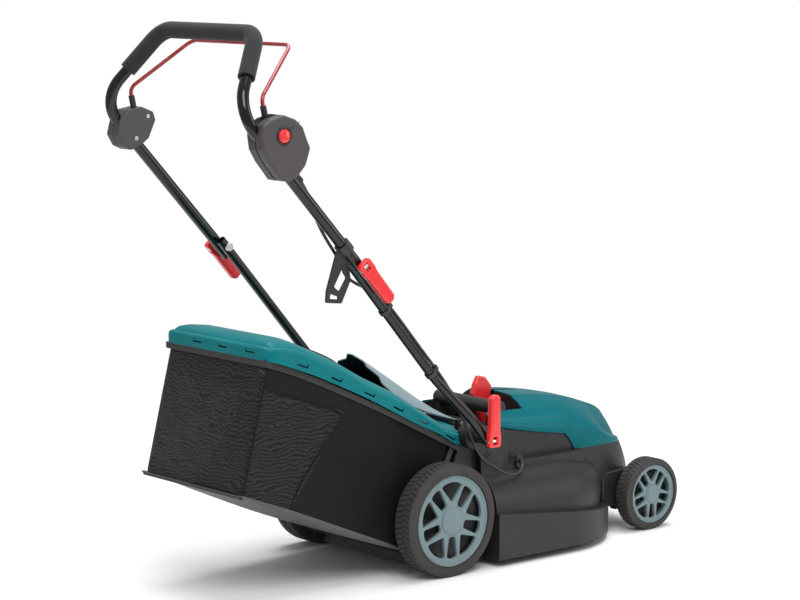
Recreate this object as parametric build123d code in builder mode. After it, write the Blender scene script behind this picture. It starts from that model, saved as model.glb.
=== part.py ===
"""Corded rotary lawn mower with a folding handle and a rear grass collector.

Frame: +X is the direction of travel, +Y the operator's left, +Z up.  The wheels stand on z = 0 and the
origin lies on the floor under the middle of the whole mower.  Lengths are in millimetres.
"""
from build123d import *
import os
from math import atan2, cos, degrees, radians, sin, sqrt, tan

os.makedirs("parts", exist_ok=True)

# ------------------------------------------------------------------ driving dimensions
SIDES = {"left": 1, "right": -1}

REAR_WHEEL = {"x": -86, "z": 110, "radius": 110, "width": 52, "inner_y": 167, "rim": 90, "axle": 6}
FRONT_WHEEL = {"x": 510.8, "z": 75, "radius": 75, "width": 42, "inner_y": 129, "rim": 62, "axle": 5}
REAR_PIVOT = (-10, 27)          # crank pivot of the rear axle, x and z
FRONT_PIVOT = (478, 50)         # crank pivot of the front axle, x and z
REAR_ARM_Y = 160
FRONT_ARM_Y = 121
RUN = 0.05                      # radial running clearance
FIT = 0.4                       # gap between bodies that slide or swing

BLADE_X = 238                   # motor and blade axis
BLADE_R = 188
DECK_HALF = 220                 # skirt half width
DECK_BOTTOM = 14
ROOF_Z = 112                    # underside of the blade chamber's roof
BODY_HALF = 152                 # half width of the body above the blade housing

TUNNEL_HALF = 150
MOUTH_TOP = (-8, 246)           # rear opening of the discharge tunnel, x and z
MOUTH_BOTTOM = (-112, 38)

LOW_JOINT = (-3, 260)           # lower handle joint, x and z
MID_JOINT = (-320, 624)         # middle handle joint, x and z
LOWER_Y = 195                   # lower tube, mid part
LOWER_FOOT_Y = 220              # lower tube at its foot
UPPER_Y = 216
LOWER_TUBE_R = 9.5
UPPER_TUBE_R = 11
TUBE_WALL = 1.5
GRIP_R = 16
CORD_R = 3.8

BOLT_R = 4
SHAFT_R = 6
CABLE_INLET = (143, -152, 190)

FLAP_HINGE = (18, 276)
FLAP_HALF = 110
FLAP_ROD_R = 4
FLAP_SLOPE = 24.0               # degrees, rearwards and up at rest

# side lines in x and z: discharge tunnel, its bore, and one handle bracket
TUNNEL_SIDE = [(118, 36), (-108, 34), (-113, 36), MOUTH_TOP, (2, 262), (92, 262), (118, 230)]
TUNNEL_BORE = [
    (238, 10), (60, 20), (0, 44), (-120, 44), (-130, 40), (-18, 262), (-14, 236), (60, 236),
    (108, 196), (118, ROOF_Z), (238, ROOF_Z),
]
BRACKET_SIDE = [(92, 150), (36, 150), (30, 226), (-12, 245), (-12, 268), (2, 280), (92, 262)]


def save(piece, node):
    """Label one finished piece and write it as its own file."""
    piece.part.label = node
    export_step(piece.part, f"parts/{node}.step")


def side_plane(y, side=1):
    """Plane of constant y whose local y is +Z and whose normal points outboard."""
    return Plane(origin=(0, side * y, 0), x_dir=(-side, 0, 0), z_dir=(0, side, 0))


def side_points(points, side=1):
    """Convert (x, z) points to the local coordinates of side_plane."""
    return [(-side * x, z) for x, z in points]


def side_polygon(points, y, side, depth, mode=Mode.ADD, corner=0.0):
    """Extrude a polygon given in (x, z) outboard from |y| by depth."""
    with BuildSketch(side_plane(y, side)) as profile:
        with BuildLine():
            Polyline(*side_points(points, side), close=True)
        make_face()
        if corner:
            fillet(profile.vertices(), corner)
    extrude(profile.sketch, amount=depth, mode=mode)


def across_polygon(points, half, mode=Mode.ADD, corner=0.0):
    """Extrude a polygon given in (x, z) across the midplane, from -half to +half in y."""
    side_polygon(points, -half, 1, 2 * half, mode, corner)


def side_disc(x, z, y, side, radius, depth, mode=Mode.ADD):
    """Cylinder along Y from |y| outboard by depth, centred on (x, z)."""
    with BuildSketch(side_plane(y, side)) as profile:
        with Locations(side_points([(x, z)], side)[0]):
            Circle(radius)
    extrude(profile.sketch, amount=depth, mode=mode)


def upright_disc(x, y, z, radius, height, mode=Mode.ADD):
    """Cylinder along Z standing on height z."""
    with BuildSketch(Plane.XY.offset(z)) as profile:
        with Locations((x, y)):
            Circle(radius)
    extrude(profile.sketch, amount=height, mode=mode)


def flat_box(x_range, y_range, z_range, mode=Mode.ADD):
    """Box given by its two limits along each axis."""
    with BuildSketch(Plane.XY.offset(z_range[0])) as profile:
        with Locations(((x_range[0] + x_range[1]) / 2, (y_range[0] + y_range[1]) / 2)):
            Rectangle(x_range[1] - x_range[0], y_range[1] - y_range[0])
    extrude(profile.sketch, amount=z_range[1] - z_range[0], mode=mode)


def bar_along(points, radii, radius, wall=0.0, mode=Mode.ADD):
    """Round bar or tube along straight runs joined by tangent arcs."""
    with BuildLine() as path:
        if radii:
            FilletPolyline(*points, radius=radii)
        else:
            Polyline(*points)
    start = path.wire() ^ 0
    with BuildSketch(start) as profile:
        Circle(radius)
        if wall:
            Circle(radius - wall, mode=Mode.SUBTRACT)
    sweep(profile.sketch, path=path.wire(), mode=mode)


# ------------------------------------------------------------------ running gear
def wheel_plane(wheel, side, offset=0.0):
    """Plane at the wheel's inner face, offset outboard, with the wheel centre as its origin."""
    centre = (wheel["x"], side * (wheel["inner_y"] + offset), wheel["z"])
    return Plane(origin=centre, x_dir=(-side, 0, 0), z_dir=(0, side, 0))


def wheel_window(inner, outer, half_in, half_out):
    """One rounded opening between two spokes, pointing along local x."""
    with BuildSketch() as window:
        with BuildLine():
            Polyline((inner, -half_in), (outer, -half_out), (outer, half_out), (inner, half_in), close=True)
        make_face()
        fillet(window.vertices(), min(half_in, half_out) * 0.85)
    return window.sketch


def make_wheel(end, wheel, side_name):
    """Tyre, spoked hub and hub cap of one wheel."""
    side = SIDES[side_name]
    radius = wheel["radius"]
    width = wheel["width"]
    rim = wheel["rim"]
    groove_count = 36
    with BuildPart() as tyre:
        with BuildSketch(wheel_plane(wheel, side)):
            Circle(radius)
            Circle(rim, mode=Mode.SUBTRACT)
        extrude(amount=width)
        fillet(tyre.edges().filter_by(GeomType.CIRCLE).group_by(SortBy.RADIUS)[-1], 6)
        with BuildSketch(wheel_plane(wheel, side)):
            with PolarLocations(radius, groove_count, start_angle=5):
                Rectangle(5, 4)
        extrude(amount=width, mode=Mode.SUBTRACT)
    save(tyre, f"tyre_{end}_{side_name}")

    boss = 0.29 * rim
    hub_face = width - 4
    pocket = width - 17
    slot = wheel_window(0.47 * rim, 0.84 * rim, 0.07 * rim, 0.10 * rim)
    triangle = wheel_window(0.50 * rim, 0.84 * rim, 0.06 * rim, 0.20 * rim)
    with BuildPart() as hub:
        with BuildSketch(wheel_plane(wheel, side, 3)):
            Circle(rim)
            Circle(rim - 5, mode=Mode.SUBTRACT)
        extrude(amount=width - 5)
        with BuildSketch(wheel_plane(wheel, side, hub_face - 9)):
            Circle(rim - 2)
            with PolarLocations(0, 5, start_angle=90):
                add(slot, mode=Mode.SUBTRACT)
            with PolarLocations(0, 5, start_angle=90 + 36):
                add(triangle, mode=Mode.SUBTRACT)
        extrude(amount=9)
        with BuildSketch(wheel_plane(wheel, side)):
            Circle(boss)
        extrude(amount=width - 1)
        # pocket for the axle nut, closed by the plain centre disc
        with BuildSketch(wheel_plane(wheel, side, pocket)):
            Circle(boss - 4)
        extrude(amount=11, mode=Mode.SUBTRACT)
        with BuildSketch(wheel_plane(wheel, side)):
            Circle(wheel["axle"] + RUN)
        extrude(amount=pocket + 1, mode=Mode.SUBTRACT)
    save(hub, f"hub_{end}_{side_name}")


def make_axle(end, wheel, pivot, arm_y):
    """Bent steel axle: a pivot bar across the deck, two crank arms and a stub in each wheel."""
    stub_y = wheel["inner_y"] + wheel["width"] - 8
    route = [
        (wheel["x"], stub_y, wheel["z"]),
        (wheel["x"], arm_y, wheel["z"]),
        (pivot[0], arm_y, pivot[1]),
        (pivot[0], -arm_y, pivot[1]),
        (wheel["x"], -arm_y, wheel["z"]),
        (wheel["x"], -stub_y, wheel["z"]),
    ]
    with BuildPart() as axle:
        bar_along(route, wheel["axle"] + 1, wheel["axle"])
    save(axle, f"{end}_axle")
    with BuildPart() as nuts:
        for side in SIDES.values():
            with BuildSketch(wheel_plane(wheel, side, wheel["width"] - 16)) as nut:
                RegularPolygon(wheel["axle"] + 4.5, 6)
                Circle(wheel["axle"], mode=Mode.SUBTRACT)
            extrude(nut.sketch, amount=7)
    save(nuts, f"{end}_axle_nuts")


for end, wheel in (("rear", REAR_WHEEL), ("front", FRONT_WHEEL)):
    for side_name in SIDES:
        make_wheel(end, wheel, side_name)
make_axle("rear", REAR_WHEEL, REAR_PIVOT, REAR_ARM_Y)
make_axle("front", FRONT_WHEEL, FRONT_PIVOT, FRONT_ARM_Y)


# ------------------------------------------------------------------ deck and hood
def deck_outline(z, half, rear_x):
    """Plan of the blade housing at height z: straight sides and a round front about the blade axis."""
    with BuildSketch(Plane.XY.offset(z)) as plan:
        with BuildLine():
            Line((rear_x, half), (rear_x, -half))
            Line((rear_x, -half), (BLADE_X, -half))
            ThreePointArc((BLADE_X, -half), (BLADE_X + half, 0), (BLADE_X, half))
            Line((BLADE_X, half), (rear_x, half))
        make_face()
    return plan.sketch


def body_outline(z, half, rear_x, front_x):
    """Plan of the body under the hood: straight sides that round into a blunt nose."""
    shoulder_x = max(front_x - 190, rear_x + 10)
    nose = front_x - shoulder_x
    with BuildSketch(Plane.XY.offset(z)) as plan:
        with BuildLine():
            Line((rear_x, half), (rear_x, -half))
            Line((rear_x, -half), (shoulder_x, -half))
            Spline(
                (shoulder_x, -half), (front_x - 0.47 * nose, -0.88 * half),
                (front_x - 0.15 * nose, -0.56 * half), (front_x, 0),
                (front_x - 0.15 * nose, 0.56 * half), (front_x - 0.47 * nose, 0.88 * half),
                (shoulder_x, half),
                tangents=((1, 0), (-1, 0)),
            )
            Line((shoulder_x, half), (rear_x, half))
        make_face()
    return plan.sketch


# height, half width, rear edge and nose of the shape that the hood and the belt below it share
BODY_SECTIONS = (
    (96, 122, 96, 561), (150, 132, 98, 544), (190, 134, 100, 522), (225, 133, 104, 492),
    (250, 129, 110, 456), (272, 112, 122, 392), (290, 86, 138, 312), (302, 60, 152, 250),
)
SHELL = 3.0


def body_shape(inset=0.0, mode=Mode.ADD):
    """Loft of the body, or of its hollow when an inset is given."""
    sections = []
    for z, half, rear_x, front_x in BODY_SECTIONS:
        drop = inset if z > 240 else 0
        sections.append(body_outline(z - drop, half - inset, rear_x + inset, front_x - inset))
    loft(sections, mode=mode)


def housing_shape(levels, rear_x, mode=Mode.ADD):
    """Loft of the blade housing through (height, half width) levels."""
    loft([deck_outline(z, half, rear_x) for z, half in levels], mode=mode)


# side line, in x and z, that parts the hood from the deck below it
HOOD_LINE = [
    (60, 262), (110, 258), (200, 240), (286, 226), (300, 212), (314, 190), (400, 188), (470, 182), (600, 168),
]
ABOVE_HOOD = [(600, 400), (60, 400)]

# recess at the rear of the hood, bridged by the carry handle
RECESS = {"x": (80, 206), "half": 96, "floor": 246}


def recess(grow=0.0, mode=Mode.SUBTRACT):
    half = RECESS["half"] + grow
    flat_box((RECESS["x"][0], RECESS["x"][1] + grow), (-half, half), (RECESS["floor"] - grow, 330), mode)


with BuildPart() as body_hollow:
    body_shape(SHELL)
    recess(SHELL)

with BuildPart() as hood:
    body_shape()
    recess()
    add(body_hollow.part, mode=Mode.SUBTRACT)
    across_polygon(HOOD_LINE + ABOVE_HOOD, 300, Mode.INTERSECT)
    # slot for the cutting height lever
    flat_box((166, 266), (-8, 8), (238, 320), Mode.SUBTRACT)
save(hood, "motor_hood")

with BuildPart() as deck:
    # skirt, its top edge falling towards the front
    extrude(deck_outline(DECK_BOTTOM, DECK_HALF, 32), amount=110 - DECK_BOTTOM)
    skirt_top = Plane(origin=(28, 0, 107), z_dir=(sin(radians(6.2)), 0, cos(radians(6.2))))
    split(bisect_by=skirt_top, keep=Keep.BOTTOM)
    # bulged blade housing
    housing_shape(((40, 205), (110, 203), (140, 194), (162, 176), (176, 153)), 40)
    # square body with its side walls, and the belt under the hood
    flat_box((46, 326), (-BODY_HALF, BODY_HALF), (120, 190))
    body_shape()
    recess()
    # hollow of the housing and of the body above the chamber roof
    housing_shape(((ROOF_Z + 6, 197), (138, 190), (159, 172), (172, 149)), 44, Mode.SUBTRACT)
    flat_box((50, 322), (4 - BODY_HALF, BODY_HALF - 4), (ROOF_Z + 6, 186), Mode.SUBTRACT)
    add(body_hollow.part, mode=Mode.SUBTRACT)
    across_polygon([(x, z - 0.2) for x, z in HOOD_LINE] + ABOVE_HOOD, 300, Mode.SUBTRACT)
    # chamber roof again, then the chamber
    extrude(deck_outline(ROOF_Z - 2, 197, 46), amount=8)
    extrude(deck_outline(0, 199, 52), amount=ROOF_Z, mode=Mode.SUBTRACT)
    # discharge tunnel to the collector
    across_polygon(TUNNEL_SIDE, TUNNEL_HALF)
    across_polygon(TUNNEL_BORE, TUNNEL_HALF - 8, Mode.SUBTRACT)
    # skirt returns behind the chamber on each side
    for side in SIDES.values():
        side_polygon([(34, 16), (52, 16), (52, 100), (34, 100)], TUNNEL_HALF - 8, side, 74)
    # carrier of the front axle under the nose, open below
    flat_box((452, 548), (-106, 106), (62, 108))
    flat_box((456, 544), (-102, 102), (60, 104), Mode.SUBTRACT)
    # slot for the cutting height lever and opening for the motor shaft
    flat_box((166, 212), (-8, 8), (238, 262), Mode.SUBTRACT)
    upright_disc(BLADE_X, 0, ROOF_Z - 5, 20, 15, Mode.SUBTRACT)
    # handle brackets with round bosses
    for side in SIDES.values():
        side_polygon(BRACKET_SIDE, TUNNEL_HALF - 6, side, 20)
        side_disc(*LOW_JOINT, TUNNEL_HALF + 14, side, 24, 21)
        side_disc(*LOW_JOINT, TUNNEL_HALF - 12, side, BOLT_R + 0.08, 90, Mode.SUBTRACT)
        # room for the bolt's head
        side_disc(*LOW_JOINT, TUNNEL_HALF - 24, side, 10, 17.5, Mode.SUBTRACT)
        # lugs for the flap rod
        side_polygon([(8, 258), (28, 258), (28, 284), (8, 284)], FLAP_HALF + 3, side, 10)
        side_disc(*FLAP_HINGE, FLAP_HALF + 2, side, FLAP_ROD_R, 12, Mode.SUBTRACT)
    # bearings of the two crank axles
    for side in SIDES.values():
        for pivot, axle_r, top, y in ((REAR_PIVOT, 6, 46, 118), (FRONT_PIVOT, 5, 100, 88)):
            x, z = pivot
            side_polygon([(x - 13, z - 12), (x + 13, z - 12), (x + 13, top), (x - 13, top)], y, side, 16)
            side_disc(x, z, y - 2, side, axle_r + RUN, 20, Mode.SUBTRACT)
save(deck, "deck")

with BuildPart() as carry_bar:
    side_disc(146, 288, -RECESS["half"], 1, 14, 2 * RECESS["half"])
    fillet(carry_bar.edges(), 1)
    # a foot under each end, standing on the floor of the recess
    for side in SIDES.values():
        side_polygon([(134, RECESS["floor"]), (158, RECESS["floor"]), (158, 284), (134, 284)],
                     RECESS["half"] - 15, side, 14, corner=1)
save(carry_bar, "carry_bar")

with BuildPart() as rear_guard:
    across_polygon([(-120, 14), (-113, 14), (-109, 30), (-60, 30), (-60, 33.8), (-116, 33.8)], 141)
save(rear_guard, "rear_guard")

with BuildPart() as flap_rod:
    side_disc(*FLAP_HINGE, -(FLAP_HALF + 13), 1, FLAP_ROD_R, 2 * (FLAP_HALF + 13))
save(flap_rod, "flap_rod")

with BuildPart() as gland:
    gland_plane = Plane(origin=CABLE_INLET, x_dir=(1, 0, 0), z_dir=(0, -1, 0))
    with BuildSketch(gland_plane):
        SlotCenterToCenter(10, 18, rotation=90)
        Circle(CORD_R, mode=Mode.SUBTRACT)
    extrude(amount=5)
save(gland, "cable_gland")


# ------------------------------------------------------------------ motor and blade
CAN_BOTTOM = ROOF_Z + 6
with BuildPart() as can:
    upright_disc(BLADE_X, 0, CAN_BOTTOM + 6, 50, 80)
    upright_disc(BLADE_X, 0, CAN_BOTTOM + 6, 46, 76, Mode.SUBTRACT)
    upright_disc(BLADE_X, 0, CAN_BOTTOM, SHAFT_R + RUN, 120, Mode.SUBTRACT)
save(can, "motor_can")

with BuildPart() as end_plate:
    upright_disc(BLADE_X, 0, CAN_BOTTOM, 56, 6)
    upright_disc(BLADE_X, 0, CAN_BOTTOM - 1, SHAFT_R + RUN, 8, Mode.SUBTRACT)
save(end_plate, "motor_end_plate")

with BuildPart() as shaft:
    upright_disc(BLADE_X, 0, 44, SHAFT_R, 175)
save(shaft, "motor_shaft")

with BuildPart() as armature:
    upright_disc(BLADE_X, 0, 134, 40, 52)
    with BuildSketch(Plane.XY.offset(134)) as slots:
        with Locations((BLADE_X, 0)):
            with PolarLocations(37, 12):
                Rectangle(8, 4)
    extrude(slots.sketch, amount=52, mode=Mode.SUBTRACT)
    upright_disc(BLADE_X, 0, 186, 16, 12)
    upright_disc(BLADE_X, 0, 133, SHAFT_R, 80, Mode.SUBTRACT)
save(armature, "armature")

with BuildPart() as cooling_fan:
    upright_disc(BLADE_X, 0, 207, 44, 3)
    with BuildSketch(Plane.XY.offset(210)) as vanes:
        with Locations((BLADE_X, 0)):
            with PolarLocations(28, 9):
                Rectangle(26, 2.5, rotation=20)
            Circle(14)
    extrude(vanes.sketch, amount=8)
    upright_disc(BLADE_X, 0, 206, SHAFT_R, 20, Mode.SUBTRACT)
save(cooling_fan, "cooling_fan")

BLADE_Z = 36
with BuildPart() as carrier:
    upright_disc(BLADE_X, 0, BLADE_Z + 4, 34, 8)
    upright_disc(BLADE_X, 0, BLADE_Z + 4, 17, 40)
    upright_disc(BLADE_X, 0, BLADE_Z + 8, SHAFT_R, 40, Mode.SUBTRACT)
    upright_disc(BLADE_X, 0, BLADE_Z, 5, 12, Mode.SUBTRACT)
save(carrier, "blade_carrier")

with BuildPart() as blade:
    with BuildSketch(Plane.XY.offset(BLADE_Z)) as bar:
        with Locations((BLADE_X, 0)):
            Rectangle(48, 2 * BLADE_R)
            Circle(5, mode=Mode.SUBTRACT)
    extrude(bar.sketch, amount=4)
    cutting_edges = [
        blade.edges().filter_by(Axis.Y).group_by(Axis.Z)[-1].sort_by(Axis.X)[i] for i in (0, -1)
    ]
    chamfer(cutting_edges, 3.9, 12)
    # raised wings that throw the grass
    for turn in (1, -1):
        wing_x = BLADE_X - 16 * turn
        tip = turn * (BLADE_R - 30)
        flat_box((wing_x - 7, wing_x + 7), (tip - 28, tip + 28), (BLADE_Z + 4, BLADE_Z + 14))
save(blade, "blade")

with BuildPart() as blade_bolt:
    with BuildSketch(Plane.XY.offset(BLADE_Z - 8)) as head:
        with Locations((BLADE_X, 0)):
            RegularPolygon(10, 6)
    extrude(head.sketch, amount=6)
    upright_disc(BLADE_X, 0, BLADE_Z - 2, 15, 2)
    upright_disc(BLADE_X, 0, BLADE_Z - 2, 5, 10)
save(blade_bolt, "blade_bolt")


# ------------------------------------------------------------------ cutting height lever
HEIGHT_PIVOT = (186, 232)
with BuildPart() as height_lever:
    side_polygon([(176, 236), (162, 296), (167, 338), (187, 334), (203, 314), (200, 296), (196, 236)],
                 -6, 1, 12, corner=4)
    side_disc(*HEIGHT_PIVOT, -6, 1, 12, 12)
    side_disc(*HEIGHT_PIVOT, -16, 1, 4, 32)
save(height_lever, "height_lever")

with BuildPart() as quadrant:
    side_disc(*HEIGHT_PIVOT, 7, 1, 9, 4)
    side_polygon([(186, 226), (256, 226), (256, 241), (200, 241), (186, 238)], 7, 1, 4)
    side_disc(*HEIGHT_PIVOT, 6, 1, 4 + RUN, 8, Mode.SUBTRACT)
save(quadrant, "height_quadrant")


# ------------------------------------------------------------------ rear flap
def along_flap(distance, lift=0.0):
    """Point on the flap's centreline, measured rearwards and up from its hinge."""
    slope = radians(FLAP_SLOPE)
    x = FLAP_HINGE[0] - distance * cos(slope) + lift * sin(slope)
    z = FLAP_HINGE[1] + distance * sin(slope) + lift * cos(slope)
    return (x, 0, z)


def flap_section(distance, rise, lean):
    """Closed arch across the flap, 3 mm thick, its crown leaning rearwards by lean degrees."""
    tilt = radians(lean)
    plane = Plane(origin=along_flap(distance), x_dir=(0, -1, 0), z_dir=(-cos(tilt), 0, -sin(tilt)))
    half = FLAP_HALF
    with BuildSketch(plane) as arch:
        with BuildLine():
            ThreePointArc((-half, 0), (0, rise), (half, 0))
            Line((half, 0), (half, 3))
            ThreePointArc((half, 3), (0, rise + 3), (-half, 3))
            Line((-half, 3), (-half, 0))
        make_face()
    return arch.sketch


with BuildPart() as flap:
    loft([flap_section(6, 3, -20), flap_section(70, 34, 0), flap_section(168, 76, 16)])
    side_disc(*FLAP_HINGE, -FLAP_HALF, 1, 7, 2 * FLAP_HALF)
    side_disc(*FLAP_HINGE, -FLAP_HALF - 1, 1, FLAP_ROD_R + RUN, 2 * FLAP_HALF + 2, Mode.SUBTRACT)
    # room for the return spring
    flat_box((0, 40), (-16, 16), (FLAP_HINGE[1] - 12, FLAP_HINGE[1] + 14), Mode.SUBTRACT)
save(flap, "rear_flap")

with BuildPart() as flap_spring:
    side_disc(*FLAP_HINGE, -13, 1, 6.5, 26)
    side_disc(*FLAP_HINGE, -14, 1, FLAP_ROD_R, 28, Mode.SUBTRACT)
save(flap_spring, "flap_spring")


# ------------------------------------------------------------------ grass collector
def side_band(upper, lower, half, mode=Mode.ADD):
    """Solid between two smooth lines given in (x, z), from front to rear, across -half to +half."""
    with BuildSketch(side_plane(-half, 1)) as profile:
        with BuildLine():
            Spline(*side_points(upper))
            Line(side_points(upper)[-1], side_points(lower)[-1])
            Spline(*side_points(lower))
            Line(side_points(lower)[0], side_points(upper)[0])
        make_face()
    extrude(profile.sketch, amount=2 * half, mode=mode)


def shifted(points, dz):
    return [(x, z + dz) for x, z in points]


LID_HALF = 162
LID_REAR = -492
LID_TOP = [(-19, 262), (-98, 304), (-200, 362), (-300, 412), (-400, 457), (LID_REAR, 484)]
LID_LOW = [(-19, 243), (-98, 283), (-200, 334), (-300, 381), (-400, 425), (LID_REAR, 458)]
BAG_HALF = 154
MOUTH_HALF = 147
FRAME_HALF = 157
WALL = 2.5

with BuildPart() as lid_hollow:
    side_band(shifted(LID_TOP, -3), shifted(LID_LOW, -1), LID_HALF - 3)
    flat_box((LID_REAR + 3, 0), (-LID_HALF, LID_HALF), (200, 500), Mode.INTERSECT)

with BuildPart() as lid:
    side_band(LID_TOP, LID_LOW, LID_HALF)
    fillet(lid.faces().sort_by(Axis.X)[0].edges().filter_by(Axis.Z), 26)
    add(lid_hollow.part, mode=Mode.SUBTRACT)
save(lid, "collector_lid")

with BuildPart() as collector_frame:
    # rim under the lid, open in the middle
    side_band(shifted(LID_LOW, -0.3), shifted(LID_LOW, -13), FRAME_HALF)
    flat_box((-478, -40), (-FRAME_HALF + 8, FRAME_HALF - 8), (200, 500), Mode.SUBTRACT)
    # mouth frame that closes on the tunnel
    across_polygon([(-22, 236), (-34, 238), (-136, 36), (-122, 36)], MOUTH_HALF)
    across_polygon([(-20, 222), (-50, 222), (-134, 52), (-104, 52)], MOUTH_HALF - 14, Mode.SUBTRACT)
save(collector_frame, "collector_frame")

BAG_FLOOR = [(-136, 40), (-184, 59), (-300, 107), (-413, 154), (-543, 207)]
BAG_ROOF = [(-487, 442), (-400, 411), (-300, 367), (-200, 320), (-98, 269), (-42, 240)]


def bag_plan(inset, mode=Mode.ADD):
    """Plan of the bag: wide at the rear, narrower between the wheels."""
    half = BAG_HALF - inset
    front = MOUTH_HALF - inset
    with BuildSketch() as plan:
        with BuildLine():
            Polyline(
                (-560 + inset, -half), (-215, -half), (-150, -front), (0, -front), (0, front), (-150, front),
                (-215, half), (-560 + inset, half), close=True,
            )
        make_face()
    extrude(plan.sketch, amount=600, mode=mode)


with BuildPart() as bag_hollow:
    bag_plan(WALL)
    across_polygon(
        [(-20, 262), (-128, 43), (-136, 43), (-184, 61.8), (-300, 109.8), (-413, 156.8), (-540.2, 209.6),
         (-478, 480)],
        200, Mode.INTERSECT,
    )

with BuildPart() as bag:
    bag_plan(0)
    across_polygon(BAG_FLOOR + BAG_ROOF, 200, Mode.INTERSECT)
    add(bag_hollow.part, mode=Mode.SUBTRACT)
save(bag, "grass_bag")

with BuildPart() as bag_wire:
    side_disc(-547, 206.6, -BAG_HALF - 3, 1, 2.5, 2 * BAG_HALF + 6)
save(bag_wire, "bag_wire")

# carry handle of the lid, bridging two feet
with BuildPart() as lid_handle:
    side_band(
        [(-162, 342.5), (-180, 378), (-218, 412), (-262, 434), (-300, 442), (-313, 419.5)],
        [(-180, 352.5), (-194, 374), (-226, 398), (-262, 414), (-288, 420), (-296, 412.5)], 17,
    )
save(lid_handle, "lid_handle")


# ------------------------------------------------------------------ handle tubes
def between(start, end, distance, lift=0.0):
    """Point in x and z on the line from start towards end, lifted at right angles to it."""
    run_x = end[0] - start[0]
    run_z = end[1] - start[1]
    length = sqrt(run_x ** 2 + run_z ** 2)
    x = start[0] + (run_x * distance + run_z * lift) / length
    z = start[1] + (run_z * distance - run_x * lift) / length
    return (x, z)


LOWER_LENGTH = sqrt((MID_JOINT[0] - LOW_JOINT[0]) ** 2 + (MID_JOINT[1] - LOW_JOINT[1]) ** 2)


def lower_point(distance, y, lift=0.0):
    """Point beside the lower tube, measured up from its joint."""
    x, z = between(LOW_JOINT, MID_JOINT, distance, lift)
    return (x, y, z)


def lower_route(side):
    return [
        lower_point(-14, side * LOWER_FOOT_Y),
        lower_point(62, side * LOWER_FOOT_Y),
        lower_point(168, side * LOWER_Y),
        lower_point(LOWER_LENGTH + 18, side * LOWER_Y),
    ]


for side_name, side in SIDES.items():
    with BuildPart() as lower_tube:
        bar_along(lower_route(side), [90, 90], LOWER_TUBE_R, TUBE_WALL)
        for joint, y in ((LOW_JOINT, LOWER_FOOT_Y), (MID_JOINT, LOWER_Y)):
            side_disc(*joint, y - 14, side, BOLT_R + 0.08, 28, Mode.SUBTRACT)
    save(lower_tube, f"lower_tube_{side_name}")

GRIP_BEND = (-592.6, 919.4)     # where the arm turns forward, x and z
GRIP_BAR = (-499, 1053)
GRIP_BAR_Y = 146
ARM_START = between(MID_JOINT, GRIP_BEND, -28)
UPPER_ROUTE = [
    (ARM_START[0], -UPPER_Y, ARM_START[1]),
    (GRIP_BEND[0], -UPPER_Y, GRIP_BEND[1]),
    (GRIP_BAR[0], -GRIP_BAR_Y, GRIP_BAR[1]),
    (GRIP_BAR[0], GRIP_BAR_Y, GRIP_BAR[1]),
    (GRIP_BEND[0], UPPER_Y, GRIP_BEND[1]),
    (ARM_START[0], UPPER_Y, ARM_START[1]),
]
UPPER_BENDS = [65, 45, 45, 65]

with BuildPart() as upper_tube:
    bar_along(UPPER_ROUTE, UPPER_BENDS, UPPER_TUBE_R, TUBE_WALL)
    for side in SIDES.values():
        side_disc(*MID_JOINT, UPPER_Y - 14, side, BOLT_R, 28, Mode.SUBTRACT)
save(upper_tube, "upper_tube")

GRIP_END = (-552.2, 185.8, 977)
with BuildPart() as foam_grip:
    bar_along(
        [(GRIP_END[0], -GRIP_END[1], GRIP_END[2]), UPPER_ROUTE[2], UPPER_ROUTE[3], GRIP_END],
        [45, 45], GRIP_R, GRIP_R - UPPER_TUBE_R,
    )
save(foam_grip, "foam_grip")

# bolts, each ending in the barrel that its cam lever turns on
LEVER_GAP = 9                   # from the tube's outer face to the barrel's axis
BARREL_R = 4.5
CAMS = {
    "mid_left": (MID_JOINT, 1, UPPER_Y + UPPER_TUBE_R, between(LOW_JOINT, MID_JOINT, LOWER_LENGTH - 90)),
    "mid_right": (MID_JOINT, -1, UPPER_Y + UPPER_TUBE_R, between(LOW_JOINT, MID_JOINT, LOWER_LENGTH - 90)),
    "low_left": (LOW_JOINT, 1, LOWER_FOOT_Y + LOWER_TUBE_R, (LOW_JOINT[0] + 2, LOW_JOINT[1] + 90)),
    "low_right": (LOW_JOINT, -1, LOWER_FOOT_Y + LOWER_TUBE_R, (LOW_JOINT[0] + 2, LOW_JOINT[1] + 90)),
}


def lever_plane(joint, side, tube_face, tip, offset=0.0):
    """Plane across a cam lever: local x towards its tip, local y outboard, origin on the barrel's axis."""
    run_x = tip[0] - joint[0]
    run_z = tip[1] - joint[1]
    length = sqrt(run_x ** 2 + run_z ** 2)
    along = Vector(run_x / length, 0, run_z / length)
    across = along.cross(Vector(0, side, 0))
    centre = Vector(joint[0], side * (tube_face + LEVER_GAP), joint[1]) + across * offset
    return Plane(origin=centre, x_dir=along, z_dir=across)


for level, inner_y in (("low", TUNNEL_HALF - 8), ("mid", LOWER_Y - LOWER_TUBE_R)):
    with BuildPart() as bolts:
        for name, (joint, side, tube_face, tip) in CAMS.items():
            if name.startswith(level):
                head_y = inner_y - 2
                side_disc(*joint, head_y - 3, side, 8, 4.5)
                side_disc(*joint, head_y, side, BOLT_R, tube_face + LEVER_GAP - head_y)
                with BuildSketch(lever_plane(joint, side, tube_face, tip, -12.5)) as barrel:
                    Circle(BARREL_R)
                extrude(barrel.sketch, amount=25)
    save(bolts, f"{level}_joint_bolts")

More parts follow.
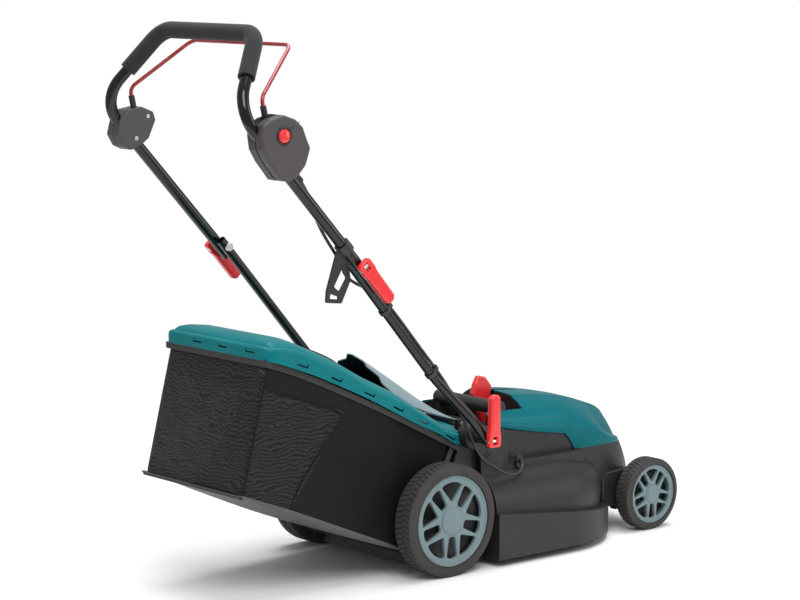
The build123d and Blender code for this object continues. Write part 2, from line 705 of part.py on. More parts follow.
for name, (joint, side, tube_face, tip) in CAMS.items():
    with BuildPart() as cam_lever:
        with BuildSketch(lever_plane(joint, side, tube_face, tip, -13)) as lever:
            Circle(8)
            with BuildLine():
                Polyline((0, -5), (30, -6), (86, -3), (88, 4), (30, 7), (0, 8), close=True)
            make_face()
        extrude(lever.sketch, amount=26)
        with BuildSketch(lever_plane(joint, side, tube_face, tip, -5)) as fork:
            with Locations((0, 0)):
                Rectangle(30, 40)
        extrude(fork.sketch, amount=10, mode=Mode.SUBTRACT)
        with BuildSketch(lever_plane(joint, side, tube_face, tip, -14)) as bore:
            Circle(BARREL_R + RUN)
        extrude(bore.sketch, amount=28, mode=Mode.SUBTRACT)
    save(cam_lever, f"cam_lever_{name}")

with BuildPart() as spacers:
    for side in SIDES.values():
        side_disc(*LOW_JOINT, TUNNEL_HALF + 35, side, 10, LOWER_FOOT_Y - LOWER_TUBE_R - TUNNEL_HALF - 35.4)
        side_disc(*LOW_JOINT, TUNNEL_HALF + 34, side, BOLT_R + 0.08, 40, Mode.SUBTRACT)
save(spacers, "joint_spacers")


# ------------------------------------------------------------------ switch box, bail and button
BAIL_PIVOT = (-522, 888)
BAIL_Y = 206
BOX_IN = 197
BOX_SPLIT = UPPER_Y
BUTTON = (-510, 874)
BOX_OUTLINE = [
    (-539, 905), (-510, 912), (-483, 903), (-466, 888), (-457, 866), (-449, 850), (-460, 819), (-477, 801),
    (-497, 791), (-514, 794), (-543, 829), (-556, 850), (-560, 876), (-555, 895),
]
COVER_OUTLINE = [
    (-570, 862), (-552, 832), (-535, 822), (-510, 828), (-492, 845), (-478, 875), (-482, 892), (-508, 908),
    (-535, 907), (-562, 890),
]
STUB_SLOT = [(-508, 876), (-538, 876), (-566, 925), (-510, 925)]


def bail_room(side):
    """Room for the bail's end and its pivot in an inner half."""
    side_polygon(STUB_SLOT, BAIL_Y - 7, side, BOX_SPLIT - BAIL_Y + 7, Mode.SUBTRACT)
    side_disc(*BAIL_PIVOT, BAIL_Y - 7, side, 9, BOX_SPLIT - BAIL_Y + 7, Mode.SUBTRACT)
    side_disc(*BAIL_PIVOT, BOX_IN - 1, side, 3 + RUN, 20, Mode.SUBTRACT)


for node, outline, side in (("switch_box_inner", BOX_OUTLINE, -1), ("left_cover_inner", COVER_OUTLINE, 1)):
    with BuildPart() as inner_half:
        side_polygon(outline, BOX_IN, side, BOX_SPLIT - BOX_IN, corner=4)
        bail_room(side)
        bar_along(UPPER_ROUTE, UPPER_BENDS, UPPER_TUBE_R, mode=Mode.SUBTRACT)
    save(inner_half, node)

with BuildPart() as box_outer:
    side_polygon(BOX_OUTLINE, BOX_SPLIT, -1, 25, corner=4)
    fillet(box_outer.faces().sort_by(Axis.Y)[0].edges(), 4)
    side_disc(*BUTTON, BOX_SPLIT + 25, -1, 15, 1.5)
    side_disc(*BUTTON, BOX_SPLIT + 8, -1, 11, 20, Mode.SUBTRACT)
    side_polygon([(-500, 812), (-468, 818), (-462, 850), (-500, 850)], BOX_SPLIT, -1, 20, Mode.SUBTRACT)
    bar_along(UPPER_ROUTE, UPPER_BENDS, UPPER_TUBE_R, mode=Mode.SUBTRACT)
save(box_outer, "switch_box_outer")

with BuildPart() as cover_outer:
    side_polygon(COVER_OUTLINE, BOX_SPLIT, 1, 20, corner=4)
    fillet(cover_outer.faces().sort_by(Axis.Y)[-1].edges(), 4)
    bar_along(UPPER_ROUTE, UPPER_BENDS, UPPER_TUBE_R, mode=Mode.SUBTRACT)
save(cover_outer, "left_cover_outer")

with BuildPart() as micro_switch:
    side_polygon([(-488, 834), (-468, 834), (-468, 846), (-488, 846)], BOX_SPLIT + 11, -1, 9)
save(micro_switch, "micro_switch")

with BuildPart() as screws:
    for x, z in ((-500, 887), (-527, 846)):
        side_disc(x, z, BOX_IN - 1.5, 1, 4, 1.5)
save(screws, "cover_screws")

with BuildPart() as button:
    side_disc(*BUTTON, BOX_SPLIT + 14, -1, 10.6, 15)
    fillet(button.faces().sort_by(Axis.Y)[0].edges(), 1.5)
save(button, "lock_button")

BAIL_TOP = (-534, 941)
BAIL_BAR = (-426, 1031)
BAIL_BAR_Y = 152
BAIL_R = 3.7
bail_start = between(BAIL_PIVOT, BAIL_TOP, 40)
with BuildPart() as bail:
    bar_along(
        [(bail_start[0], -BAIL_Y, bail_start[1]), (BAIL_TOP[0], -BAIL_Y, BAIL_TOP[1]),
         (BAIL_BAR[0], -BAIL_BAR_Y, BAIL_BAR[1]), (BAIL_BAR[0], BAIL_BAR_Y, BAIL_BAR[1]),
         (BAIL_TOP[0], BAIL_Y, BAIL_TOP[1]), (bail_start[0], BAIL_Y, bail_start[1])],
        [20, 24, 24, 20], BAIL_R,
    )
save(bail, "bail")

with BuildPart() as stubs:
    for side in SIDES.values():
        foot = (BAIL_PIVOT[0], side * BAIL_Y, BAIL_PIVOT[1])
        bar_along([foot, (bail_start[0], side * BAIL_Y, bail_start[1])], None, 5.8)
        side_disc(*BAIL_PIVOT, BAIL_Y - 6.2, side, 7.2, 12.4)
        side_disc(*BAIL_PIVOT, BAIL_Y - 8.5, side, 3, 17)
save(stubs, "bail_stubs")


# ------------------------------------------------------------------ cable, clips and cord hook
def cable_radii(points):
    """Arc at each corner: 0.45 of the shorter run over the tangent of half the turn."""
    radii = []
    for before, corner, after in zip(points, points[1:], points[2:]):
        run_in = Vector(*corner) - Vector(*before)
        run_out = Vector(*after) - Vector(*corner)
        turn = radians(run_in.get_angle(run_out))
        radii.append(0.45 * min(run_in.length, run_out.length) / tan(turn / 2))
    return radii


def make_cable(node, points):
    radii = cable_radii(points)
    with BuildPart() as cable:
        bar_along(points, radii, CORD_R)
    save(cable, node)
    with BuildLine() as path:
        FilletPolyline(*points, radius=radii)
    length = path.wire().length
    section = 3.14159 * CORD_R ** 2
    smallest = min(radii)
    print(f"{node}: length {length:.0f} mm, smallest radius {smallest:.0f} mm, "
          f"volume over section times length {cable.part.volume / (section * length):.3f}")


CABLE_UPPER = [
    (-468.5, -206, 810), (-450, -205, 793), (-430, -201, 770), (-416, -199, 742), (-404, -198.5, 712),
    (-386, -198.5, 682), (-364, -199, 652), (-351.6, -197.2, 636.7),
]
CABLE_LOWER = [
    (-351.2, -197.2, 636.2), (-343, -196, 626), (-325, -180, 606), (-303, -175, 590), (-276, -177, 577),
    lower_point(391, -187, 13.4),
    lower_point(352, -LOWER_Y, 13.6), lower_point(298, -LOWER_Y - 0.5, 13.7),
    lower_point(240, -LOWER_Y + 0.5, 13.8),
    lower_point(186, -LOWER_Y - 1, 13.8), lower_point(136, -LOWER_Y, 12.5), lower_point(90, -196, 5),
    lower_point(47, -197, -6.3),
]
CABLE_DECK = [
    lower_point(46, -197, -6.6), (-22, -197.5, 263), (-8, -196, 236), (16, -190, 212), (46, -186, 196),
    (80, -184, 177), (108, -181, 171), (130, -175, 175), (141, -168, 184), (143, -163, 190), (143, -152, 190),
]
make_cable("cable_upper", CABLE_UPPER)
make_cable("cable_lower", CABLE_LOWER)
make_cable("cable_deck", CABLE_DECK)

with BuildPart() as clips:
    for distance in (356, 182):
        clip_plane = Plane(
            origin=lower_point(distance, -LOWER_Y),
            x_dir=Vector(*lower_point(0, 0, 1)) - Vector(*lower_point(0, 0, 0)),
            z_dir=Vector(*lower_point(1, 0)) - Vector(*lower_point(0, 0)),
        )
        with BuildSketch(clip_plane) as ring:
            Circle(12)
            with Locations((13.7, 0)):
                Circle(6.4)
            Circle(LOWER_TUBE_R, mode=Mode.SUBTRACT)
            with Locations((13.7, 0)):
                Circle(CORD_R + 0.3, mode=Mode.SUBTRACT)
        extrude(ring.sketch, amount=8)
    # the cable still bends a little where it passes each clip
    bar_along(CABLE_LOWER, cable_radii(CABLE_LOWER), CORD_R + 0.3, mode=Mode.SUBTRACT)
save(clips, "cable_clips")

HOOK_AT = between(MID_JOINT, GRIP_BEND, 50)
with BuildPart() as cord_hook:
    arm_dir = Vector(GRIP_BEND[0] - MID_JOINT[0], 0, GRIP_BEND[1] - MID_JOINT[1])
    ring_plane = Plane(origin=(HOOK_AT[0], -UPPER_Y, HOOK_AT[1]), x_dir=(0, 1, 0), z_dir=arm_dir)
    with BuildSketch(ring_plane) as ring:
        Circle(UPPER_TUBE_R + 4)
        Circle(UPPER_TUBE_R + RUN, mode=Mode.SUBTRACT)
    extrude(ring.sketch, amount=10, both=True)
    side_polygon([(-370, 660), (-346, 634), (-340, 600), (-362, 558), (-398, 562), (-396, 584)],
                 UPPER_Y - 2.5, -1, 5, corner=4)
    long_window = [(-357, 628), (-350, 603), (-366, 580), (-380, 590)]
    end_window = [(-388, 578), (-369, 571), (-369, 566), (-390, 569)]
    side_polygon(long_window, UPPER_Y - 4, -1, 8, Mode.SUBTRACT, corner=3)
    side_polygon(end_window, UPPER_Y - 4, -1, 8, Mode.SUBTRACT, corner=1)
    with BuildSketch(ring_plane.offset(-20)) as tube_room:
        Circle(UPPER_TUBE_R + RUN)
    extrude(tube_room.sketch, amount=60, mode=Mode.SUBTRACT)
save(cord_hook, "cord_hook")
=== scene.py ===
"""Looks of the corded rotary lawn mower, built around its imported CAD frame."""
import math

import bpy
from mathutils import Matrix, Vector, noise


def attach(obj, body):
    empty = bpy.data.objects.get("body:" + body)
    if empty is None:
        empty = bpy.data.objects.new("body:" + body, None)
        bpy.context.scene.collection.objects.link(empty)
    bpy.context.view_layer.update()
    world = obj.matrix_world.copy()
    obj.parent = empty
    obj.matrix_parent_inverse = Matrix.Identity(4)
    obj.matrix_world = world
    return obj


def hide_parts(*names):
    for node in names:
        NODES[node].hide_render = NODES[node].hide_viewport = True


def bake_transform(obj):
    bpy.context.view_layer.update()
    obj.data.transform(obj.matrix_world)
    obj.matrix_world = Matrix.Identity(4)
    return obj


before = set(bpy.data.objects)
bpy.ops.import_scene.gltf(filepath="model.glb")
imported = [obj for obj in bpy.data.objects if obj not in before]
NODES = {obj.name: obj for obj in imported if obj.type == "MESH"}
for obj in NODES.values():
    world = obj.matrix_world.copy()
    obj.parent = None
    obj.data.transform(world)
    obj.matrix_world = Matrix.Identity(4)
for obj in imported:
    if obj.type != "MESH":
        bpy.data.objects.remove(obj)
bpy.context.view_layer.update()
MM = 0.001
SCENE = bpy.context.scene


# ------------------------------------------------------------------ materials
def socket(node, name, value):
    if name in node.inputs:
        node.inputs[name].default_value = value


def math_node(tree, operation, a, b=None):
    node = tree.nodes.new("ShaderNodeMath")
    node.operation = operation
    for slot_index, value in enumerate((a, b)):
        if value is None:
            continue
        if isinstance(value, (int, float)):
            node.inputs[slot_index].default_value = value
        else:
            tree.links.new(value, node.inputs[slot_index])
    return node.outputs[0]


def noise_node(tree, coords, scale, detail=3.0, rough=0.5):
    node = tree.nodes.new("ShaderNodeTexNoise")
    node.inputs["Scale"].default_value = scale
    node.inputs["Detail"].default_value = detail
    node.inputs["Roughness"].default_value = rough
    tree.links.new(coords, node.inputs["Vector"])
    return node.outputs["Fac"]


def ramp_between(tree, factor, low, high, start=0.3, end=0.7):
    node = tree.nodes.new("ShaderNodeValToRGB")
    node.color_ramp.elements[0].position = start
    node.color_ramp.elements[1].position = end
    node.color_ramp.elements[0].color = (*low, 1)
    node.color_ramp.elements[1].color = (*high, 1)
    tree.links.new(factor, node.inputs["Fac"])
    return node.outputs["Color"]


def map_range(tree, factor, low, high):
    node = tree.nodes.new("ShaderNodeMapRange")
    node.inputs["To Min"].default_value = low
    node.inputs["To Max"].default_value = high
    tree.links.new(factor, node.inputs["Value"])
    return node.outputs["Result"]


def tint(colour, factor):
    return tuple(min(1.0, c * factor) for c in colour)


def surface(name, colour, rough, vary=0.10, blotch=14.0, grain=1400.0, bump=0.25, depth=0.00012,
            metallic=0.0,
            coat=0.0, coat_rough=0.15, sheen=0.0, cells=False, rough_spread=0.08, dust=0.0, specular=0.5,
            rounded=True):
    """Moulded or coated surface: blotched colour, uneven gloss and a fine grain in the relief."""
    material = bpy.data.materials.new(name)
    material.use_nodes = True
    tree = material.node_tree
    shader = tree.nodes["Principled BSDF"]
    coords = tree.nodes.new("ShaderNodeTexCoord").outputs["Object"]
    broad = noise_node(tree, coords, blotch, 5.0, 0.6)
    colour_out = ramp_between(tree, broad, tint(colour, 1 - vary), tint(colour, 1 + vary))
    if dust:
        fine = noise_node(tree, coords, 160.0, 6.0, 0.75)
        mix = tree.nodes.new("ShaderNodeMix")
        mix.data_type = "RGBA"
        mix.inputs["B"].default_value = (*tint(tuple(c + 0.05 for c in colour), 1.6), 1)
        tree.links.new(colour_out, mix.inputs["A"])
        tree.links.new(math_node(tree, "MULTIPLY", fine, dust), mix.inputs["Factor"])
        colour_out = mix.outputs["Result"]
    tree.links.new(colour_out, shader.inputs["Base Color"])
    middle = noise_node(tree, coords, blotch * 6, 4.0)
    tree.links.new(map_range(tree, middle, max(0.02, rough - rough_spread), min(1.0, rough + rough_spread)),
                   shader.inputs["Roughness"])
    if cells:
        relief = tree.nodes.new("ShaderNodeTexVoronoi")
        relief.inputs["Scale"].default_value = grain
        tree.links.new(coords, relief.inputs["Vector"])
        height = relief.outputs["Distance"]
    else:
        height = noise_node(tree, coords, grain, 4.0, 0.6)
    bumper = tree.nodes.new("ShaderNodeBump")
    bumper.inputs["Strength"].default_value = bump
    bumper.inputs["Distance"].default_value = depth
    tree.links.new(height, bumper.inputs["Height"])
    # sharp edges catch the light as if they were slightly rounded
    if rounded:
        soft_edge = tree.nodes.new("ShaderNodeBevel")
        soft_edge.samples = 4
        soft_edge.inputs["Radius"].default_value = 0.0012
        tree.links.new(soft_edge.outputs["Normal"], bumper.inputs["Normal"])
    tree.links.new(bumper.outputs["Normal"], shader.inputs["Normal"])
    socket(shader, "Metallic", metallic)
    socket(shader, "Coat Weight", coat)
    socket(shader, "Coat Roughness", coat_rough)
    socket(shader, "Sheen Weight", sheen)
    socket(shader, "Specular IOR Level", specular)
    return material


def cloth_surface(name, colour, rough, thread, bump, open_share=0.0, mesh_attribute=None, sheen=0.15):
    """Woven cloth; where the attribute says mesh, the spaces between the threads are open and lighter
    swirling bands paint the light seen through the weave.
    """
    material = surface(
        name, colour, rough, vary=0.18, blotch=9.0, grain=600.0, bump=0.1, sheen=sheen, specular=0.15,
        rounded=False,
    )
    tree = material.node_tree
    shader = tree.nodes["Principled BSDF"]
    coords = tree.nodes.new("ShaderNodeTexCoord").outputs["Object"]
    parts = tree.nodes.new("ShaderNodeSeparateXYZ")
    tree.links.new(coords, parts.inputs[0])
    across = math_node(tree, "ADD", parts.outputs["X"], math_node(tree, "MULTIPLY", parts.outputs["Y"],
                                                                  1.0))
    turns = 2 * math.pi / thread
    weft = math_node(tree, "SINE", math_node(tree, "MULTIPLY", parts.outputs["Z"], turns))
    warp = math_node(tree, "SINE", math_node(tree, "MULTIPLY", across, turns))
    weave = math_node(tree, "MAXIMUM", weft, warp)
    bumper = tree.nodes.new("ShaderNodeBump")
    bumper.inputs["Strength"].default_value = bump
    bumper.inputs["Distance"].default_value = 0.0004
    tree.links.new(weave, bumper.inputs["Height"])
    tree.links.new(bumper.outputs["Normal"], shader.inputs["Normal"])
    if mesh_attribute:
        # painted light: lighter swirling bands on the mesh part stand in for light showing through the weave,
        # and the coated part is painted darker
        bands = tree.nodes.new("ShaderNodeTexWave")
        bands.inputs["Scale"].default_value = 42.0
        bands.inputs["Distortion"].default_value = 17.0
        bands.inputs["Detail"].default_value = 3.0
        bands.inputs["Detail Scale"].default_value = 0.6
        tree.links.new(coords, bands.inputs["Vector"])
        bands.bands_direction = "Z"
        share = tree.nodes.new("ShaderNodeAttribute")
        share.attribute_name = mesh_attribute
        strength = tree.nodes.new("ShaderNodeMath")
        strength.operation = "MULTIPLY"
        tree.links.new(share.outputs["Fac"], strength.inputs[0])
        tree.links.new(bands.outputs["Fac"], strength.inputs[1])
        painted_see_through_light = ramp_between(tree, strength.outputs[0], tint(colour, 0.55), tint(colour, 4.2), 0.05,
                                  1.0)
        tree.links.new(painted_see_through_light, shader.inputs["Base Color"])
    if open_share:
        hole = math_node(tree, "LESS_THAN", weave, 2 * open_share - 0.9)
        mask = tree.nodes.new("ShaderNodeAttribute")
        mask.attribute_name = mesh_attribute
        opened = math_node(tree, "MULTIPLY", hole, math_node(tree, "GREATER_THAN", mask.outputs["Fac"],
                                                             0.5))
        tree.links.new(math_node(tree, "SUBTRACT", 1.0, opened), shader.inputs["Alpha"])
    return material


BLACK = surface(
    "black_moulded", (0.0125, 0.0114, 0.0122), 0.46, vary=0.10, bump=0.35, dust=0.04, specular=0.36,
)
TEAL = surface("teal_moulded", (0.0002, 0.104, 0.124), 0.36, vary=0.06, bump=0.10, specular=0.10)
# the lid's teal is the hood's plastic made lighter: painted light falling on the top of the lid
TEAL_LID_PAINTED_LIGHTER = surface("teal_lid_painted_lighter", (0.0010, 0.152, 0.168), 0.36, vary=0.06, bump=0.10, specular=0.14)
WHEEL_GREY = surface("wheel_grey", (0.125, 0.185, 0.200), 0.42, vary=0.08, bump=0.25, dust=0.04)
FLAP_GREY = surface("flap_grey", (0.175, 0.245, 0.270), 0.40, vary=0.06, bump=0.2, coat=0.1)
BOX_GREY = surface(
    "box_grey", (0.062, 0.055, 0.057), 0.52, specular=0.35, vary=0.10, grain=900.0, bump=0.5, cells=True,
)
RIM_GREY = surface("rim_grey", (0.022, 0.021, 0.021), 0.36, vary=0.12, bump=0.2, specular=0.4)
RED = surface("red_gloss", (0.74, 0.022, 0.026), 0.24, vary=0.05, bump=0.05, coat=0.4, coat_rough=0.1)
RED_ROD = surface(
    "red_coated_rod", (0.30, 0.008, 0.010), 0.28, vary=0.08, bump=0.05, coat=0.5, coat_rough=0.12,
    rounded=False,
)
TUBE = surface(
    "black_coated_steel", (0.003, 0.003, 0.003), 0.14, vary=0.2, grain=500.0, bump=0.03, coat=0.2,
    coat_rough=0.08, specular=0.35, rounded=False,
)
TYRE = surface(
    "tyre_rubber", (0.034, 0.030, 0.030), 0.72, vary=0.12, grain=900.0, bump=0.4, dust=0.10, specular=0.3,
)
FOAM = surface(
    "grip_foam", (0.020, 0.019, 0.019), 0.86, vary=0.08, grain=1100.0, bump=0.7, depth=0.0002, sheen=0.1,
    cells=True, specular=0.3,
)
SHEATH = surface("cable_sheath", (0.012, 0.012, 0.013), 0.42, vary=0.1, bump=0.15)
CLIP = surface("clip_black", (0.016, 0.016, 0.017), 0.38, vary=0.1, bump=0.15)
ZINC = surface(
    "zinc_steel", (0.66, 0.65, 0.62), 0.30, vary=0.12, blotch=120.0, grain=700.0, bump=0.1, metallic=1.0,
)
STEEL = surface(
    "plain_steel", (0.42, 0.42, 0.43), 0.34, vary=0.14, blotch=60.0, grain=600.0, bump=0.2, metallic=1.0,
)
ALLOY = surface(
    "cast_alloy", (0.62, 0.62, 0.64), 0.45, vary=0.08, blotch=60.0, grain=500.0, bump=0.5, metallic=1.0,
)
BLADE = surface("blade_coat", (0.030, 0.030, 0.032), 0.38, vary=0.2, blotch=40.0, bump=0.15, coat=0.2)
COPPER = surface("wound_copper", (0.52, 0.23, 0.11), 0.38, vary=0.2, blotch=220.0, bump=0.4, metallic=1.0)
TRAY = surface("bag_floor_grey", (0.085, 0.085, 0.088), 0.55, vary=0.08, bump=0.15, specular=0.25)
COATED = cloth_surface("bag_coated_cloth", (0.0040, 0.0040, 0.0042), 0.45, 0.0011, 0.25, sheen=0.03)
MESH = cloth_surface("bag_cloth", (0.0065, 0.0065, 0.007), 0.5, 0.0016, 0.5, 0.10, "mesh_share", sheen=0.03)

CAD_LOOKS = {
    BLACK: ("deck", "rear_guard", "cable_gland", "joint_spacers"),
    RIM_GREY: ("collector_frame", "lid_handle", "carry_bar", "bag_wire"),
    TEAL: ("motor_hood", "collector_lid"),
    WHEEL_GREY: tuple(f"hub_{end}_{side}" for end in ("front", "rear") for side in ("left", "right")),
    TYRE: tuple(f"tyre_{end}_{side}" for end in ("front", "rear") for side in ("left", "right")),
    FLAP_GREY: ("rear_flap",),
    BOX_GREY: ("switch_box_inner", "switch_box_outer", "left_cover_inner", "left_cover_outer"),
    RED: ("lock_button", "height_lever", "cam_lever_mid_left", "cam_lever_mid_right", "cam_lever_low_left",
          "cam_lever_low_right"),
    RED_ROD: ("bail",),
    TUBE: ("upper_tube", "lower_tube_left", "lower_tube_right"),
    FOAM: ("foam_grip",),
    SHEATH: ("cable_upper", "cable_lower", "cable_deck"),
    CLIP: ("cable_clips", "cord_hook", "bail_stubs", "micro_switch", "cooling_fan"),
    ZINC: ("flap_rod", "flap_spring", "height_quadrant", "blade_bolt", "low_joint_bolts", "mid_joint_bolts",
           "front_axle", "rear_axle", "front_axle_nuts", "rear_axle_nuts", "cover_screws"),
    STEEL: ("motor_can", "motor_shaft"),
    COPPER: ("armature",),
    ALLOY: ("motor_end_plate", "blade_carrier"),
    BLADE: ("blade",),
    COATED: ("grass_bag",),
}
for look, names in CAD_LOOKS.items():
    for name in names:
        NODES[name].data.materials.clear()
        NODES[name].data.materials.append(look)


# ------------------------------------------------------------------ mesh helpers
def finish_mesh(obj, angle=35.0):
    """Smooth shading that keeps the edges sharper than the angle."""
    obj.data.polygons.foreach_set("use_smooth", [True] * len(obj.data.polygons))
    obj.data.set_sharp_from_angle(angle=math.radians(angle))
    return obj


def link_object(name, data, look):
    obj = bpy.data.objects.new(name, data)
    SCENE.collection.objects.link(obj)
    if look is not None:
        data.materials.append(look)
    return obj


def add_mesh(name, verts, faces, look, angle=35.0):
    """Piece from points in millimetres."""
    data = bpy.data.meshes.new(name)
    data.from_pydata([Vector(v) * MM for v in verts], [], faces)
    data.validate()
    return finish_mesh(link_object(name, data, look), angle)


def settle(obj):
    """Apply the piece's modifiers, or turn a curve into a mesh."""
    bpy.context.view_layer.update()
    evaluated = obj.evaluated_get(bpy.context.evaluated_depsgraph_get())
    data = bpy.data.meshes.new_from_object(evaluated)
    data.name = obj.name
    if obj.type == "MESH":
        obj.modifiers.clear()
        obj.data = data
        return obj
    settled = bpy.data.objects.new(obj.name + "_m", data)
    SCENE.collection.objects.link(settled)
    settled.matrix_world = obj.matrix_world
    name = obj.name
    bpy.data.objects.remove(obj)
    settled.name = name
    return settled


def grid_faces(rows, columns, wrap_rows=False, wrap_columns=False, flip=False):
    faces = []
    for i in range(rows if wrap_rows else rows - 1):
        for j in range(columns if wrap_columns else columns - 1):
            a = i * columns + j
            b = i * columns + (j + 1) % columns
            c = ((i + 1) % rows) * columns + (j + 1) % columns
            d = ((i + 1) % rows) * columns + j
            faces.append((a, d, c, b) if flip else (a, b, c, d))
    return faces


def round_corners(points, radius, steps=5):
    """Closed outline with its corners rounded."""
    result = []
    count = len(points)
    for i in range(count):
        before, here, after = (Vector(points[(i + k) % count]) for k in (-1, 0, 1))
        to_before, to_after = (before - here), (after - here)
        turn = to_before.angle(to_after)
        cut = min(radius / max(math.tan(turn / 2), 1e-3), 0.48 * to_before.length, 0.48 * to_after.length)
        start = here + to_before.normalized() * cut
        end = here + to_after.normalized() * cut
        for k in range(steps + 1):
            t = k / steps
            result.append(tuple((1 - t) ** 2 * start + 2 * t * (1 - t) * here + t * t * end))
    return result


def plate(name, loops, origin, x_dir, z_dir, depth, edge, look):
    """Flat plate with holes and rounded edges; loops are in millimetres about its middle plane."""
    curve = bpy.data.curves.new(name, "CURVE")
    curve.dimensions = "2D"
    curve.fill_mode = "BOTH"
    curve.extrude = max(depth / 2 - edge, 0.01) * MM
    curve.bevel_depth = edge * MM
    curve.bevel_resolution = 2
    curve.offset = -edge * MM
    for loop in loops:
        spline = curve.splines.new("POLY")
        spline.points.add(len(loop) - 1)
        for point, (u, v) in zip(spline.points, loop):
            point.co = (u * MM, v * MM, 0, 1)
        spline.use_cyclic_u = True
    obj = link_object(name, curve, look)
    x_axis = Vector(x_dir).normalized()
    z_axis = Vector(z_dir).normalized()
    y_axis = z_axis.cross(x_axis)
    turn = Matrix((x_axis, y_axis, z_axis)).transposed().to_4x4()
    obj.matrix_world = Matrix.Translation(Vector(origin) * MM) @ turn
    obj = settle(obj)
    obj.data.transform(obj.matrix_world)
    obj.matrix_world = Matrix.Identity(4)
    return finish_mesh(obj, 40.0)


def soft_line(name, points, radius, look, cyclic=False, order=3):
    """Round cord or bead on one smooth curve through its control points."""
    curve = bpy.data.curves.new(name, "CURVE")
    curve.dimensions = "3D"
    curve.bevel_depth = radius * MM
    curve.bevel_resolution = 4
    curve.use_fill_caps = True
    curve.resolution_u = 12
    spline = curve.splines.new("NURBS")
    spline.points.add(len(points) - 1)
    for point, place in zip(spline.points, points):
        point.co = (*(Vector(place) * MM), 1)
    spline.order_u = order
    spline.use_endpoint_u = not cyclic
    spline.use_cyclic_u = cyclic
    return link_object(name, curve, look)


def lathe(name, profile, centre, axis, steps, look, angle=35.0, x_dir=None):
    """Body of revolution; the profile is (along axis, radius) in millimetres and closed."""
    axis = Vector(axis).normalized()
    first = Vector(x_dir or (axis.orthogonal())).normalized()
    second = axis.cross(first)
    verts = []
    for i in range(steps):
        turn = 2 * math.pi * i / steps
        out = first * math.cos(turn) + second * math.sin(turn)
        verts.extend([tuple(Vector(centre) + axis * along + out * radius) for along, radius in profile])
    return add_mesh(name, verts, grid_faces(steps, len(profile), True, True), look, angle)


def smooth_through(points, at):
    """Catmull-Rom value at x through (x, z) points, whichever way they run."""
    pts = sorted(points)
    if at <= pts[0][0]:
        return pts[0][1]
    for k in range(len(pts) - 1):
        if at <= pts[k + 1][0]:
            x0, x1 = pts[k][0], pts[k + 1][0]
            y0, y1 = pts[k][1], pts[k + 1][1]
            slope = (y1 - y0) / (x1 - x0)
            m0 = slope if k == 0 else (y1 - pts[k - 1][1]) / (x1 - pts[k - 1][0])
            m1 = slope if k + 2 >= len(pts) else (pts[k + 2][1] - y0) / (pts[k + 2][0] - x0)
            t = (at - x0) / (x1 - x0)
            h = x1 - x0
            return ((2 * t**3 - 3 * t**2 + 1) * y0 + (t**3 - 2 * t**2 + t) * h * m0
                    + (-2 * t**3 + 3 * t**2) * y1 + (t**3 - t**2) * h * m1)
    return pts[-1][1]


def cut(obj, cutter):
    modifier = obj.modifiers.new("cut", "BOOLEAN")
    modifier.operation = "DIFFERENCE"
    modifier.solver = "EXACT"
    modifier.object = cutter
    settle(obj)
    bpy.data.objects.remove(cutter)
    return obj


def block(name, low, high):
    """Plain box, used only as a cutter."""
    verts = [(x, y, z) for x in (low[0], high[0]) for y in (low[1], high[1]) for z in (low[2], high[2])]
    faces = [(0, 1, 3, 2), (4, 6, 7, 5), (0, 4, 5, 1), (2, 3, 7, 6), (0, 2, 6, 4), (1, 5, 7, 3)]
    return add_mesh(name, verts, faces, None)


for node in NODES.values():
    finish_mesh(node, 30.0)


def place(obj, body, slot, *nodes):
    """The piece rides on its body and stands for the CAD nodes given; slot is not used."""
    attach(obj, body)
    if nodes:
        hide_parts(*nodes)
    return obj


def turned(points, turn):
    """Plan points turned about the origin by degrees."""
    c, s = math.cos(math.radians(turn)), math.sin(math.radians(turn))
    return [(u * c - v * s, u * s + v * c) for u, v in points]


def circle(radius, steps=96):
    return [(radius * math.cos(2 * math.pi * k / steps), radius * math.sin(2 * math.pi * k / steps))
            for k in range(steps)]


# ------------------------------------------------------------------ wheels
# x, z, radius, width, |y| of the inner face, rim radius, tread pitches round the tyre
WHEELS = {"rear": (-86, 110, 110, 52, 167, 90, 64), "front": (510.8, 75, 75, 42, 129, 62, 48)}
GROOVE = 2.2


def make_tyre(name, end, side):
    x, z, radius, width, inner_y, rim, pitches = WHEELS[end]
    mid = width / 2
    half = [(0.0, rim), (0.0, rim + 2), (1.5, rim + 4), (0.6, radius - 12), (1.0, radius - 9),
            (3.5, radius - 3.5)]
    tread = [5.0, 6.0, 10.0, 15.0, mid - 1.6, mid - 1.2]
    profile = half + [(a, None) for a in tread]
    profile += [(width - a, r) for a, r in reversed(profile)]
    fractions = (0.0, 0.03, 0.13, 0.16, 0.5, 0.53, 0.63, 0.66)
    pitch = 2 * math.pi / pitches
    verts = []
    for k in range(pitches):
        for f in fractions:
            for a, r in profile:
                if r is None:
                    column_floor = (0.03, 0.13) if a < mid else (0.53, 0.63)
                    low = abs(a - mid) < 1.3 or (f in column_floor and 5.5 < a < width - 5.5)
                    edge = 0.5 if a in (5.0, width - 5.0) else 0.0
                    r = radius - (GROOVE if low else edge)
                lean = 0.6 * abs(a - mid) / mid
                angle = (k + f + lean) * pitch
                verts.append((x + r * math.cos(angle), side * (inner_y + a), z + r * math.sin(angle)))
    faces = grid_faces(pitches * len(fractions), len(profile), True, True, flip=side < 0)
    return add_mesh(name, verts, faces, TYRE, 30.0)


